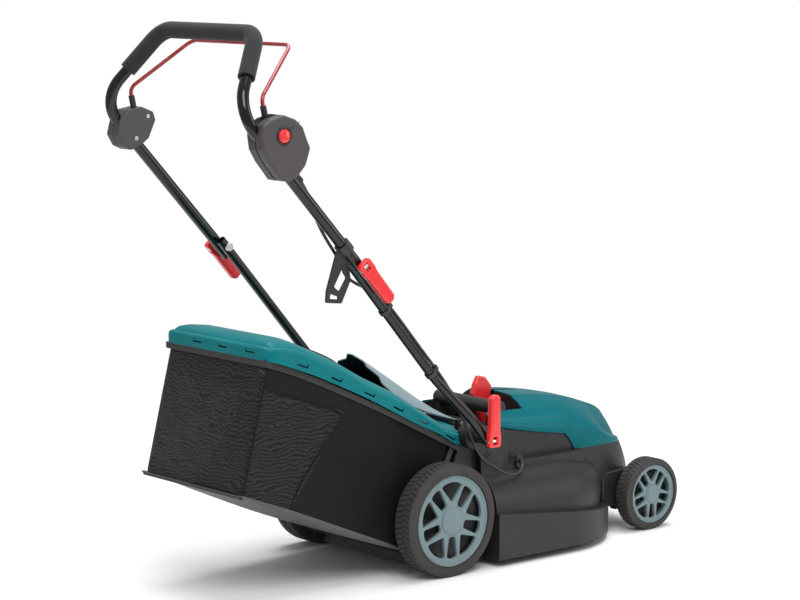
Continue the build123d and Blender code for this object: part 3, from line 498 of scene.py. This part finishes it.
def make_hub(tag, end, side, body, node):
    x, z, radius, width, inner_y, rim, _ = WHEELS[end]
    axis = (0, side, 0)
    x_dir = (-side, 0, 0)

    def at(a):
        return (x, side * (inner_y + a), z)

    loops = [circle(rim - 1.5)]
    for k in range(5):
        slot = [(0.35, -0.085), (0.795, -0.150), (0.825, 0.0), (0.795, 0.150), (0.35, 0.085)]
        gap = [(0.43, -0.02), (0.765, -0.30), (0.825, -0.15), (0.845, 0.0), (0.825, 0.15), (0.765, 0.30),
               (0.43, 0.02)]
        for shape, start, radius_share in ((slot, 270, 0.07), (gap, 90, 0.05)):
            outline = [(u * rim, v * rim) for u, v in shape]
            loops.append(turned(round_corners(outline, radius_share * rim), start + 72 * k))
    face = plate(f"hub_face_{tag}", loops, at(width - 9), x_dir, axis, 9.0, 2.0, WHEEL_GREY)
    place(face, body, node, node)
    w = width
    ring = lathe(f"hub_barrel_{tag}", [
        (3, rim - 0.3), (w - 4, rim - 0.3), (w - 2.6, rim - 1.4), (w - 2.6, rim - 3.6),
        (w - 4.4, rim - 5.5),
        (w - 12, rim - 6), (3, rim - 5)], at(0), axis, 96, WHEEL_GREY, x_dir=x_dir)
    place(ring, body, node)
    boss = 0.30 * rim
    cap = lathe(f"hub_cap_{tag}", [
        (w - 12, 0.2), (w - 12, boss), (w - 3.6, boss), (w - 2.4, boss - 1.4), (w - 1.9, boss - 4),
        (w - 1.2, boss * 0.5), (w - 1.0, 0.2)], at(0), axis, 64, WHEEL_GREY, x_dir=x_dir)
    place(cap, body, node)
    # painted shade: a black inner disc behind the spokes stands in for the shadow inside the open hub
    shade_disc = lathe(f"hub_web_{tag}", [
        (6, 8), (w - 24, 8), (w - 24, rim * 0.34), (w - 27, rim * 0.40), (w - 27, rim * 0.70),
        (w - 22, rim * 0.78),
        (w - 22, rim - 5.5), (w - 30, rim - 5.5), (6, rim * 0.4)], at(0), axis, 72, BLACK, x_dir=x_dir)
    place(shade_disc, body, node)


for end in ("rear", "front"):
    for side_name, side in (("left", 1), ("right", -1)):
        tag = f"{end}_{side_name}"
        body = f"wheel_{tag}"
        place(make_tyre(f"tyre_tread_{tag}", end, side), body, f"tyre_{tag}", f"tyre_{tag}")
        make_hub(tag, end, side, body, f"hub_{tag}")


# ------------------------------------------------------------------ lid of the collector
LID_FRONT = -19.0
LID_REAR = -492.0
LID_HALF = 162.0
LID_TOP_LINE = [
    (-18, 265), (-42, 271), (-98, 304), (-161, 343), (-243, 384), (-297, 414), (-345, 438), (-425, 471),
    (-492, 482),
]
LID_LOW_LINE = [
    (-18, 243), (-39, 250), (-72, 270), (-142, 303), (-199, 333), (-260, 364), (-321, 392), (-380, 418),
    (-462, 448), (-492, 457),
]
LID_LEVELS = (
    (0, -8), (0.6, -5.6), (2.0, -4.2), (5, -2.6), (10, -2), (11.4, -0.8), (13.5, 1.6), (20, 6),
    (34, 10.5), (60, 14.5), (100, 17), (140, 18), (158, 18),
)


def lid_ring(inset, height, low=False):
    """One U-shaped line round the lid, front right, round the rear, to front left."""
    half = LID_HALF - inset
    rear = LID_REAR + inset
    corner = max(26.0 - inset, min(3.0, half * 0.6))
    plan = []
    for k in range(48):
        t = k / 47
        plan.append((LID_FRONT + (rear + corner - LID_FRONT) * t, -half))
    for k in range(1, 9):
        turn = math.pi / 2 * k / 9
        plan.append((rear + corner - corner * math.sin(turn), -half + corner - corner * math.cos(turn)))
    for k in range(21):
        plan.append((rear, (-half + corner) * (1 - k / 10)))
    plan += [(x, -y) for x, y in reversed(plan[:56])]
    line = LID_LOW_LINE if low else LID_TOP_LINE
    return [(x, y, smooth_through(line, x) + height) for x, y in plan]


rings = [lid_ring(0, 0, low=True)]
low_ring, high_ring = rings[0], lid_ring(*LID_LEVELS[0])
for share in (0.25, 0.5, 0.75):
    rings.append([tuple(a + (b - a) * share for a, b in zip(p, q)) for p, q in zip(low_ring, high_ring)])
rings += [lid_ring(*level) for level in LID_LEVELS]
rings.append([(x, y * 0.0, z) for x, y, z in rings[-1]])
verts = [p for ring in rings for p in ring]
lid = add_mesh("lid_shell", verts, grid_faces(len(rings), len(rings[0])), TEAL_LID_PAINTED_LIGHTER, 40.0)
weld = lid.modifiers.new("weld", "WELD")
weld.merge_threshold = 0.0002
settle(lid)
shell = lid.modifiers.new("shell", "SOLIDIFY")
shell.thickness = 2.5 * MM
shell.offset = -1.0
settle(lid)


def slot_cutter(centre, along, up, out):
    """An L-shaped window: a long bar with a short tick up at its front end."""
    verts, faces = [], []
    for u0, u1, v0, v1 in ((-13.5, 13.5, -1.5, 1.5), (10.5, 13.5, -1.6, 6.0)):
        start = len(verts)
        for u in (u0, u1):
            for v in (v0, v1):
                for w in (-8, 8):
                    verts.append(tuple(Vector(centre) + along * u + up * v + out * w))
        faces += [tuple(start + i for i in f)
                  for f in ((0, 1, 3, 2), (4, 6, 7, 5), (0, 4, 5, 1), (2, 3, 7, 6), (0, 2, 6, 4),
                            (1, 5, 7, 3))]
    return verts, faces


verts, faces = [], []
windows = [((x, side * LID_HALF, z), side) for x, z in (
    (-411, 440), (-331, 406), (-251, 369), (-180, 333), (-118, 300), (-48, 262)) for side in (-1, 1)]
for centre, side in windows:
    x = centre[0]
    rise = (smooth_through(LID_LOW_LINE, x + 10) - smooth_through(LID_LOW_LINE, x - 10)) / 20
    along = Vector((1, 0, rise)).normalized()
    more, more_faces = slot_cutter(centre, along, along.cross(Vector((0, 1, 0))), Vector((0, -1, 0)))
    faces += [tuple(len(verts) + i for i in f) for f in more_faces]
    verts += more
for y in (52, -28, -112):
    centre = (LID_REAR, y, 469)
    more, more_faces = slot_cutter(centre, Vector((0, 1, 0)), Vector((0, 0, 1)), Vector((1, 0, 0)))
    faces += [tuple(len(verts) + i for i in f) for f in more_faces]
    verts += more
cutter = add_mesh("lid_windows", verts, faces, None)
modifier = lid.modifiers.new("cut", "BOOLEAN")
modifier.operation = "DIFFERENCE"
modifier.solver = "EXACT"
modifier.use_self = True
modifier.object = cutter
settle(lid)
bpy.data.objects.remove(cutter)
finish_mesh(lid, 40.0)
place(lid, "collector", "collector_lid", "collector_lid")


# ------------------------------------------------------------------ grass bag
BAG_ROOF = [(-487, 447), (-400, 415), (-300, 371), (-200, 323), (-98, 272), (-42, 242)]
BAG_FLOOR = [(-136, 46), (-184, 66), (-300, 114), (-413, 161), (-546, 212)]
SIDE_COLUMNS, CORNER_COLUMNS, REAR_COLUMNS, BAG_ROWS = 110, 6, 64, 60


def bag_side_point(u, v):
    """Middle of the side panel: u from the mouth to the rear, v from the roof line to the floor line."""
    roof_x = -42 + (-487 + 42) * u
    floor_x = -136 + (-546 + 136) * u
    roof_z = smooth_through(BAG_ROOF, roof_x)
    floor_z = smooth_through(BAG_FLOOR, floor_x)
    return roof_x + (floor_x - roof_x) * v, roof_z + (floor_z - roof_z) * v


def bag_half(x):
    """Half width: narrower where it passes between the wheels."""
    t = min(1.0, max(0.0, (x + 215) / 65))
    return 154 - 7 * (3 * t * t - 2 * t**3)


def crease(x, z, seed):
    """Long soft folds of the cloth with finer ones across them, about -1 to 1."""
    long_fold = noise.noise(Vector((x * 0.006 + seed, z * 0.016, seed * 1.7)))
    fine_fold = noise.noise(Vector((x * 0.021 - z * 0.012, z * 0.03 + seed, seed)))
    return 1.2 * long_fold + 0.5 * fine_fold


def mesh_share(x, z, rear):
    """One where the cloth is open mesh, zero where it is coated."""
    if rear:
        return 1.0
    strip = 400 - (x + 484) * 0.33
    edge = -436 + (z - 168) * 0.80
    if z > strip:
        return 0.0
    return 1.0 if x < min(edge, -303) else 0.0


verts, shares = [], []
for row in range(BAG_ROWS + 1):
    v = row / BAG_ROWS
    half_row = []
    for column in range(SIDE_COLUMNS):
        u = column / (SIDE_COLUMNS - 1) * 0.975
        x, z = bag_side_point(u, v)
        slack = math.sin(math.pi * min(1, u * 1.02)) * math.sin(math.pi * v)
        half_row.append((x, bag_half(x), z, u, slack, 0.0))
    rear_x, rear_z = bag_side_point(1.0, v)
    start_x, start_z = half_row[-1][0], half_row[-1][2]
    corner = start_x - rear_x
    for k in range(1, CORNER_COLUMNS + 1):
        turn = math.pi / 2 * k / CORNER_COLUMNS
        x = start_x - corner * math.sin(turn)
        y = 154 - corner * (1 - math.cos(turn))
        half_row.append((x, y, start_z + (rear_z - start_z) * math.sin(turn), 1.0, 0.0,
                         1.0 if k > 2 else 0.0))
    rear_half = 154 - corner
    for side in (-1, 1):
        line = half_row if side < 0 else list(reversed(half_row))
        for x, y, z, u, slack, rear in line:
            sag = slack * (-3.2 + 2.6 * crease(x, z, 3.0 if side < 0 else 11.0))
            verts.append((x, side * (y + sag), z))
            shares.append(mesh_share(x, z, rear > 0.5))
        if side < 0:
            for k in range(1, REAR_COLUMNS):
                y = -rear_half + 2 * rear_half * k / REAR_COLUMNS
                slack = math.cos(math.pi / 2 * y / rear_half) ** 0.7 * math.sin(math.pi * v)
                bulge = slack * (5.0 + 2.8 * crease(y, rear_z, 7.0))
                verts.append((rear_x - bulge, y, rear_z))
                shares.append(1.0)
columns = len(verts) // (BAG_ROWS + 1)
bag = add_mesh("bag_cloth", verts, grid_faces(BAG_ROWS + 1, columns), MESH, 50.0)
attribute = bag.data.attributes.new("mesh_share", "FLOAT", "POINT")
attribute.data.foreach_set("value", shares)
place(bag, "collector", "grass_bag", "grass_bag")

# floor of the bag: a thin board with a lip that shows behind the cloth
verts = []
floor_steps = 40
for k in range(floor_steps + 1):
    t = k / floor_steps
    x = -137 + (-552 + 137) * t
    z = smooth_through(BAG_FLOOR, max(x, -546))
    belly = 0.12 + math.sin(math.pi * min(1.0, t * 1.04)) ** 0.8 if t < 0.96 else 0.12
    half = bag_half(x) + 0.8 + (0.0 if t < 0.97 else 3.0)
    for y, drop in ((-half, 1.0), (-half, -3.0 * belly), (-half + 2, -6.5 * belly),
                    (-half + 8, -9.5 * belly),
                    (-half + 24, -11 * belly), (-half + 70, -12 * belly), (0, -12.5 * belly),
                    (half - 70, -12 * belly), (half - 24, -11 * belly), (half - 8, -9.5 * belly),
                    (half - 2, -6.5 * belly), (half, -3.0 * belly), (half, 1.0)):
        verts.append((x, y, z + drop))
floor_board = add_mesh("bag_floor", verts, grid_faces(floor_steps + 1, 13), TRAY, 50.0)
shell = floor_board.modifiers.new("shell", "SOLIDIFY")
shell.thickness = 2.0 * MM
shell.offset = 0.0
settle(floor_board)
finish_mesh(floor_board, 40.0)
place(floor_board, "collector", "grass_bag")

# piping along the rear corners, the seams between mesh and coated cloth, and the stay behind the rear panel
for side, word in ((-1, "right"), (1, "left")):
    points = []
    for k in range(13):
        x, z = bag_side_point(0.985, 0.01 + 0.97 * k / 12)
        points.append((x - 2, side * (bag_half(x) - 2.5), z))
    cord_piece = settle(soft_line(f"bag_piping_{word}", points, 1.9, COATED))
    finish_mesh(cord_piece, 50.0)
    place(cord_piece, "collector", "grass_bag")
    points = []
    for x, z in ((-484, 400), (-400, 372), (-322, 346), (-303, 332), (-322, 312), (-372, 262), (-420, 204),
                 (-436, 168)):
        points.append((x, side * (bag_half(x) + 0.2), z))
    seam = settle(soft_line(f"bag_seam_{word}", points, 1.1, COATED))
    finish_mesh(seam, 50.0)
    place(seam, "collector", "grass_bag")
STAY_ROUTE = [(-470, 105, 425), (-497, 40, 370), (-520, -40, 300), (-527, -116, 240)]
stay = settle(soft_line("bag_stay", STAY_ROUTE, 2.0, COATED))
finish_mesh(stay, 50.0)
place(stay, "collector", "grass_bag")


# ------------------------------------------------------------------ clamp levers
def unit_between(start, end):
    run_x, run_z = end[0] - start[0], end[1] - start[1]
    length = math.hypot(run_x, run_z)
    return run_x / length, run_z / length, length


LOW_JOINT, MID_JOINT = (-3, 260), (-320, 624)
UP_X, UP_Z, _ = unit_between(LOW_JOINT, MID_JOINT)
LEVER_OUTLINE = [
    (-12, -12), (-9, -14.5), (10, -15), (22, -12.5), (84, -11), (90, -7), (91, 5), (84, 12), (22, 12.5),
    (10, 15), (-9, 14.5), (-12, 12),
]
PIN_CAP = [(-0.9, 0.1), (-0.9, 4.4), (0.2, 4.8), (0.9, 3.6), (0.5, 2.2), (0.5, 0.1)]
LEVER_WINDOW = [(-7, -5.5), (9, -5.5), (9, 5.5), (-7, 5.5)]
LEVERS = {
    "mid_left": (MID_JOINT, 1, 227, (-UP_X, -UP_Z)), "mid_right": (MID_JOINT, -1, 227, (-UP_X, -UP_Z)),
    "low_left": (LOW_JOINT, 1, 229.5, (0.022, 1.0)), "low_right": (LOW_JOINT, -1, 229.5, (0.022, 1.0)),
}
for tag, (joint, side, face, along) in LEVERS.items():
    out = (0, side, 0)
    x_dir = (along[0], 0, along[1])
    node = f"cam_lever_{tag}"
    centre = (joint[0], side * (face + 10.5), joint[1])
    loops = [round_corners(LEVER_OUTLINE, 6), round_corners(LEVER_WINDOW, 1.5)]
    grip = plate(f"lever_{tag}", loops, centre, x_dir, out, 13.0, 2.6, RED)
    place(grip, f"cam_{tag}", node, node)
    pad_outline = [(20, -8), (80, -7.5), (84, 0), (80, 8), (20, 8.5)]
    pad_centre = (joint[0], side * (face + 17.2), joint[1])
    pad = plate(f"lever_pad_{tag}", [round_corners(pad_outline, 3)], pad_centre, x_dir, out, 1.4, 0.6, RED)
    place(pad, f"cam_{tag}", node)
    for v in (-14.2, 14.2):
        across = Vector(x_dir).cross(Vector(out)).normalized()
        cap_centre = Vector((joint[0], side * (face + 9), joint[1])) + across * v
        word = "a" if v < 0 else "b"
        turn_out = tuple(across * (1 if v > 0 else -1))
        cap = lathe(f"lever_pin_{tag}_{word}", PIN_CAP, tuple(cap_centre), turn_out, 24, ZINC)
        place(cap, f"cam_{tag}", "mid_joint_bolts" if tag.startswith("mid") else "low_joint_bolts")

# ------------------------------------------------------------------ cables


def lower_point(distance, y, lift=0.0):
    return (LOW_JOINT[0] + UP_X * distance + UP_Z * lift, y, LOW_JOINT[1] + UP_Z * distance - UP_X * lift)


CABLE_RUN = [
    (-468.5, -206, 810), (-450, -205, 793), (-430, -201, 770), (-416, -199, 742), (-404, -198.5, 712),
    (-386, -198.5, 682), (-364, -199, 652), (-343, -196, 626), (-325, -180, 606), (-303, -175, 590),
    (-276, -177, 577), lower_point(391, -187, 13.4), lower_point(352, -195, 13.8),
    lower_point(298, -195.5, 13.9), lower_point(240, -194.5, 14.0), lower_point(186, -196, 14.0),
    lower_point(136, -195, 12.9), lower_point(90, -196, 5.4), lower_point(46, -197, -6.6),
]
CABLE_END = [
    lower_point(46, -197, -6.6), (-22, -197.5, 263), (-8, -196, 236), (16, -190, 212), (46, -186, 196),
    (80, -184, 177), (108, -181, 171), (130, -175, 175), (141, -168, 184), (143, -163, 190),
    (143, -152, 190),
]
CABLE_RADIUS = 3.0
run = finish_mesh(settle(soft_line("cable_run", CABLE_RUN, CABLE_RADIUS, SHEATH)), 60.0)
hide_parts("cable_upper", "cable_lower")
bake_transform(run)
tail = finish_mesh(settle(soft_line("cable_tail", CABLE_END, CABLE_RADIUS, SHEATH)), 60.0)
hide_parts("cable_deck")
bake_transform(tail)
sleeve_axis = Vector((18.5, 1, -17)).normalized()
SLEEVE_PROFILE = [
    (-6, 3.9), (-6, 6.4), (4, 6.4), (5, 5.7), (8, 5.7), (9, 6.2), (12, 6.2), (13, 5.5), (16, 5.5), (17, 6.0),
    (20, 6.0), (21, 5.2), (24, 5.2), (25, 5.6), (30, 5.4), (34, 4.5), (34, 3.9),
]
sleeve = lathe("cable_sleeve", SLEEVE_PROFILE, (-468.5, -206, 810), tuple(sleeve_axis), 28, CLIP)
place(sleeve, "upper_handle", "cable_upper")

# ------------------------------------------------------------------ rear flap
FLAP_EDGE = ((16, 283), (-137, 339))
FLAP_CROWN = ((18, 290), (-160, 418))
FLAP_HALF = 110
verts = []
flap_rows, flap_columns = 40, 61
for i in range(flap_rows):
    t = i / (flap_rows - 1)
    for j in range(flap_columns):
        b = -1 + 2 * j / (flap_columns - 1)
        w = 1 - abs(b) ** 1.5
        edge_x = FLAP_EDGE[0][0] + (FLAP_EDGE[1][0] - FLAP_EDGE[0][0]) * t
        edge_z = FLAP_EDGE[0][1] + (FLAP_EDGE[1][1] - FLAP_EDGE[0][1]) * t - 4 * math.sin(math.pi * t)
        crown_x = FLAP_CROWN[0][0] + (FLAP_CROWN[1][0] - FLAP_CROWN[0][0]) * t
        crown_z = FLAP_CROWN[0][1] + (FLAP_CROWN[1][1] - FLAP_CROWN[0][1]) * t + 5 * math.sin(math.pi * t)
        notch = 6.0 * (abs((abs(b) * 3.0 + 0.25) % 1.0 - 0.5) * 4 - 1) * max(0.0, (t - 0.9) / 0.1)
        verts.append((edge_x + (crown_x - edge_x) * w + notch, b * FLAP_HALF,
                      edge_z + (crown_z - edge_z) * w - 0.4 * notch))
flap = add_mesh("flap_shell", verts, grid_faces(flap_rows, flap_columns), FLAP_GREY, 40.0)
# the underside takes the black moulding as painted shade: it stands in for the unlit grey plastic under the
# flap
flap.data.materials.append(BLACK)
shell = flap.modifiers.new("shell", "SOLIDIFY")
shell.thickness = 2.4 * MM
shell.offset = -1.0
shell.material_offset = 1
settle(flap)
finish_mesh(flap, 45.0)
place(flap, "flap", "rear_flap", "rear_flap")
for word, low, high in (("right", -110, -16), ("left", 16, 110)):
    profile = [(low, 4.1), (low, 6.2), (low + 1, 7), (high - 1, 7), (high, 6.2), (high, 4.1)]
    barrel = lathe(f"flap_barrel_{word}", profile, (18, 0, 276), (0, 1, 0), 36, FLAP_GREY)
    place(barrel, "flap", "rear_flap")

# ------------------------------------------------------------------ switch box, cover and button
BOX_OUTLINE = [
    (-539, 905), (-510, 912), (-483, 903), (-466, 888), (-457, 866), (-449, 850), (-460, 819),
    (-477, 801), (-497, 791), (-514, 794), (-543, 829), (-556, 850), (-560, 876), (-555, 895),
]
BUTTON = (-510, 874)


def side_loop(points, side, origin):
    return [(-side * (x - origin[0]), z - origin[1]) for x, z in points]


button_hole = [(x + BUTTON[0], z + BUTTON[1]) for x, z in circle(14.0, 40)]
outer = plate(
    "switch_box_front",
    [side_loop(round_corners(BOX_OUTLINE, 12), -1, BUTTON), side_loop(button_hole, -1, BUTTON)],
    (BUTTON[0], -228.7, BUTTON[1]), (1, 0, 0), (0, -1, 0), 25.0, 5.0, BOX_GREY,
)
place(outer, "upper_handle", "switch_box_outer", "switch_box_outer")
COVER_OUTLINE = [
    (-543, 901), (-513, 906), (-486, 895), (-481, 879), (-497, 845), (-514, 833), (-537, 824),
    (-556, 832), (-569, 854), (-562, 880),
]
COVER_MIDDLE = (-525, 866)
for word, middle_y in (("inner", 206.6), ("outer", 226.4)):
    half = plate(
        f"left_cover_{word}_shell", [side_loop(round_corners(COVER_OUTLINE, 6), -1, COVER_MIDDLE)],
        (COVER_MIDDLE[0], middle_y, COVER_MIDDLE[1]), (1, 0, 0), (0, -1, 0), 19.6, 3.0, BOX_GREY,
    )
    place(half, "upper_handle", f"left_cover_{word}", f"left_cover_{word}")
ring = lathe(
    "button_ring", [(10, 13.2), (10, 16.6), (27.4, 16.6), (28.4, 15.8), (28.4, 14.2), (27.2, 13.2)],
    (BUTTON[0], -214, BUTTON[1]), (0, -1, 0), 56, CLIP,
)
place(ring, "upper_handle", "switch_box_outer")
dome = lathe(
    "button_dome",
    [(16, 0.1), (16, 12.9), (26.5, 12.9), (28.8, 11.8), (30.2, 9.0), (31.0, 5.0), (31.3, 0.1)],
    (BUTTON[0], -214, BUTTON[1]), (0, -1, 0), 48, RED,
)
place(dome, "button", "lock_button", "lock_button")
groove = finish_mesh(settle(soft_line("switch_box_groove", [(-497, -241.0, 886), (-484, -241.0, 896),
                                                            (-473, -238.5, 898)], 0.9, CLIP)), 60.0)
place(groove, "upper_handle", "switch_box_outer")

# ------------------------------------------------------------------ hood with its two creases
HOOD_EDGE = [
    (60, 262), (110, 258), (200, 240), (286, 226), (300, 212), (314, 190), (400, 188), (470, 182),
    (530, 176),
]
HOOD_CREST = [
    (104, 300), (150, 304), (201, 305), (288, 296), (359, 283), (424, 264), (468, 245), (498, 217),
    (512, 200), (522, 184),
]
HOOD_SHOULDER = [
    (104, 276), (132, 273), (186, 267), (242, 264), (297, 261), (354, 252), (390, 238), (416, 218),
    (450, 200), (522, 181),
]
HOOD_PLAN = [
    (104, 128), (180, 133), (330, 134), (385, 129), (433, 117), (470, 98), (495, 75), (512, 45),
    (520, 20), (523, 1),
]


def edge_height(x):
    for (x0, z0), (x1, z1) in zip(HOOD_EDGE, HOOD_EDGE[1:]):
        if x0 <= x <= x1:
            return z0 + (z1 - z0) * (x - x0) / (x1 - x0)
    return HOOD_EDGE[-1][1]


def hood_profile(x):
    """Half section of the hood at x, from the middle out to its lower edge."""
    half = smooth_through(HOOD_PLAN, x)
    scale = half / 134
    crest, shoulder, low = smooth_through(HOOD_CREST, x), smooth_through(HOOD_SHOULDER, x), edge_height(x)
    shoulder = min(shoulder, crest - 1)
    low = min(low, shoulder - 2)
    crease_z = crest - 3 * scale
    band = crease_z - shoulder
    marks = [(0, crest), (32 * scale, crest - 0.8 * scale), (58 * scale, crease_z),
             (60 * scale, crease_z - 1.2 * scale),
             (78 * scale, crease_z - 0.30 * band), (96 * scale, crease_z - 0.66 * band),
             (109 * scale, shoulder),
             (111 * scale, shoulder - 1.6), (122 * scale, shoulder - 0.16 * (shoulder - low) - 1.6),
             (130 * scale, shoulder - 0.42 * (shoulder - low)),
             (133.4 * scale, shoulder - 0.72 * (shoulder - low)),
             (half, low)]
    line = []
    for (y0, z0), (y1, z1) in zip(marks, marks[1:]):
        for k in range(4):
            line.append((y0 + (y1 - y0) * k / 4, z0 + (z1 - z0) * k / 4))
    return line + [marks[-1]]


EDGE_STATIONS = [286, 300, 314]
stations = [106 + 4.0 * k for k in range(100)] + EDGE_STATIONS + [506 + 1.6 * k for k in range(10)]
stations = sorted(set(stations))
verts = []
for x in stations:
    line = hood_profile(x)
    verts += [(x, -y, z) for y, z in reversed(line)] + [(x, y, z) for y, z in line[1:]]
columns = len(verts) // len(stations)
hood = add_mesh("hood_shell", verts, grid_faces(len(stations), columns), TEAL, 50.0)
shell = hood.modifiers.new("shell", "SOLIDIFY")
shell.thickness = 2.6 * MM
shell.offset = -1.0
settle(hood)
cut(hood, block("hood_cut_recess", (60, -96, 246), (206, 96, 340)))
cut(hood, block("hood_cut_slot", (200, -8, 236), (266, 8, 340)))
finish_mesh(hood, 22.0)
place(hood, "chassis", "motor_hood", "motor_hood")
recess_line = ([(106 + 5 * k, -96.6) for k in range(20)] + [(202, -96.6), (206.6, -92)]
               + [(206.6, -92 + 8 * k) for k in range(1, 23)] + [(206.6, 92), (202, 96.6)]
               + [(201 - 5 * k, 96.6) for k in range(20)])
verts = []
for height in range(9):
    for x, y in recess_line:
        scale = smooth_through(HOOD_PLAN, x) / 134
        line = hood_profile(x)
        top = min(line, key=lambda point: abs(point[0] - abs(y)))[1] - 0.8
        verts.append((x, y, 243 + (top - 243) * height / 8))
walls = add_mesh("hood_recess_wall", verts, grid_faces(9, len(recess_line)), BLACK, 40.0)
shell = walls.modifiers.new("shell", "SOLIDIFY")
shell.thickness = 2.2 * MM
shell.offset = 0.0
settle(walls)
cut(walls, block("hood_cut_slot_wall", (180, -9, 236), (266, 9, 340)))
finish_mesh(walls, 40.0)
place(walls, "chassis", "motor_hood")

# ------------------------------------------------------------------ walls beside the front wheels
WALL = [(405, 128), (488, 127), (500, 116), (498, 104), (472, 98), (462, 52), (405, 52)]
for side, word in ((-1, "right"), (1, "left")):
    wall = plate(f"front_wall_{word}", [[(x - 480, z - 110) for x, z in round_corners(WALL, 8)]]
                 if side < 0 else [[(480 - x, z - 110) for x, z in round_corners(WALL, 8)]],
                 (480, side * 113, 110), (-side, 0, 0), (0, side, 0), 25.0, 4.0, BLACK)
    place(wall, "chassis", "deck")

# ------------------------------------------------------------------ cutting height lever
FIN = [
    (177, 236), (152, 304), (158, 324), (168, 341), (187, 336), (204, 316), (201, 296), (196, 236),
    (186, 221),
]
fin = plate(
    "height_fin", [[(x - 186, z - 300) for x, z in round_corners(FIN, 7)]], (186, 0, 300), (1, 0, 0),
    (0, -1, 0), 12.0, 3.0, RED,
)
place(fin, "height_lever_set", "height_lever", "height_lever")
pin = lathe(
    "height_pin", [(-16, 0.1), (-16, 3.4), (-15, 4), (15, 4), (16, 3.4), (16, 0.1)], (186, 0, 232),
    (0, 1, 0), 28, ZINC,
)
place(pin, "height_lever_set", "height_lever")

# ------------------------------------------------------------------ round bracket seen beside the lower joint
for side, word in ((-1, "right"), (1, "left")):
    for k, (radius, bead) in enumerate(((38, 1.0), (30, 0.9), (52, 1.0))):
        arc = []
        for step in range(13):
            angle = math.radians(200 + 130 * step / 12) if radius < 50 else math.radians(205 + 70 * step / 12)
            arc.append((28 + radius * math.cos(angle) * 0.9, side * 164.6,
                        236 + radius * math.sin(angle) * 0.9))
        arc = [p for p in arc if 32 < p[0] < 90 and 160 < p[2] < 262]
        if len(arc) > 3:
            rib = finish_mesh(settle(soft_line(f"bracket_rib_{word}_{k}", arc, bead, BLACK)), 60.0)
            place(rib, "chassis", "deck")

# ------------------------------------------------------------------ camera, light and floor
camera_data = bpy.data.cameras.new("camera")
camera_data.lens = 120.1
camera_data.sensor_width = 36.0
camera = bpy.data.objects.new("camera", camera_data)
camera.location = (-3.4143, -3.9982, 1.2249)
camera.rotation_mode = "QUATERNION"
camera.rotation_quaternion = Vector((0.6394, 0.7570, -0.1347)).to_track_quat("-Z", "Y")
SCENE.collection.objects.link(camera)
SCENE.camera = camera

floor_look = surface("floor_pale", (0.93, 0.93, 0.93), 0.6, vary=0.01, bump=0.02, specular=0.3)
FLOOR_RADIUS = 1900
rim = [(FLOOR_RADIUS * math.cos(math.tau * k / 120), FLOOR_RADIUS * math.sin(math.tau * k / 120), -0.3)
       for k in range(120)]
floor = add_mesh("floor", rim, [tuple(range(120))], floor_look)

world = bpy.data.worlds.new("studio")
world.use_nodes = True
studio = world.node_tree
for node in list(studio.nodes):
    studio.nodes.remove(node)
path = studio.nodes.new("ShaderNodeLightPath")
seen = studio.nodes.new("ShaderNodeBackground")
seen.inputs["Color"].default_value = (1, 1, 1, 1)
seen.inputs["Strength"].default_value = 1.0
around = studio.nodes.new("ShaderNodeBackground")
around.inputs["Color"].default_value = (1, 1, 1, 1)
around.inputs["Strength"].default_value = 0.50
either = studio.nodes.new("ShaderNodeMixShader")
studio.links.new(path.outputs["Is Camera Ray"], either.inputs[0])
studio.links.new(around.outputs[0], either.inputs[1])
studio.links.new(seen.outputs[0], either.inputs[2])
world_out = studio.nodes.new("ShaderNodeOutputWorld")
studio.links.new(either.outputs[0], world_out.inputs[0])
SCENE.world = world


def lamp(name, place, target, size, power):
    data = bpy.data.lights.new(name, "AREA")
    data.shape = "RECTANGLE"
    data.size, data.size_y = size
    data.energy = power
    obj = bpy.data.objects.new(name, data)
    obj.location = place
    obj.rotation_mode = "QUATERNION"
    obj.rotation_quaternion = (Vector(target) - Vector(place)).to_track_quat("-Z", "Y")
    SCENE.collection.objects.link(obj)


lamp("key", (-1.6, -2.6, 3.2), (0, 0, 0.35), (2.2, 2.2), 95)
lamp("overhead", (0.4, 0.2, 3.6), (0, 0, 0.3), (3.0, 2.4), 120)
lamp("side", (2.6, -2.4, 1.4), (0.1, 0, 0.35), (1.4, 1.8), 22)
SCENE.view_settings.view_transform = "Standard"
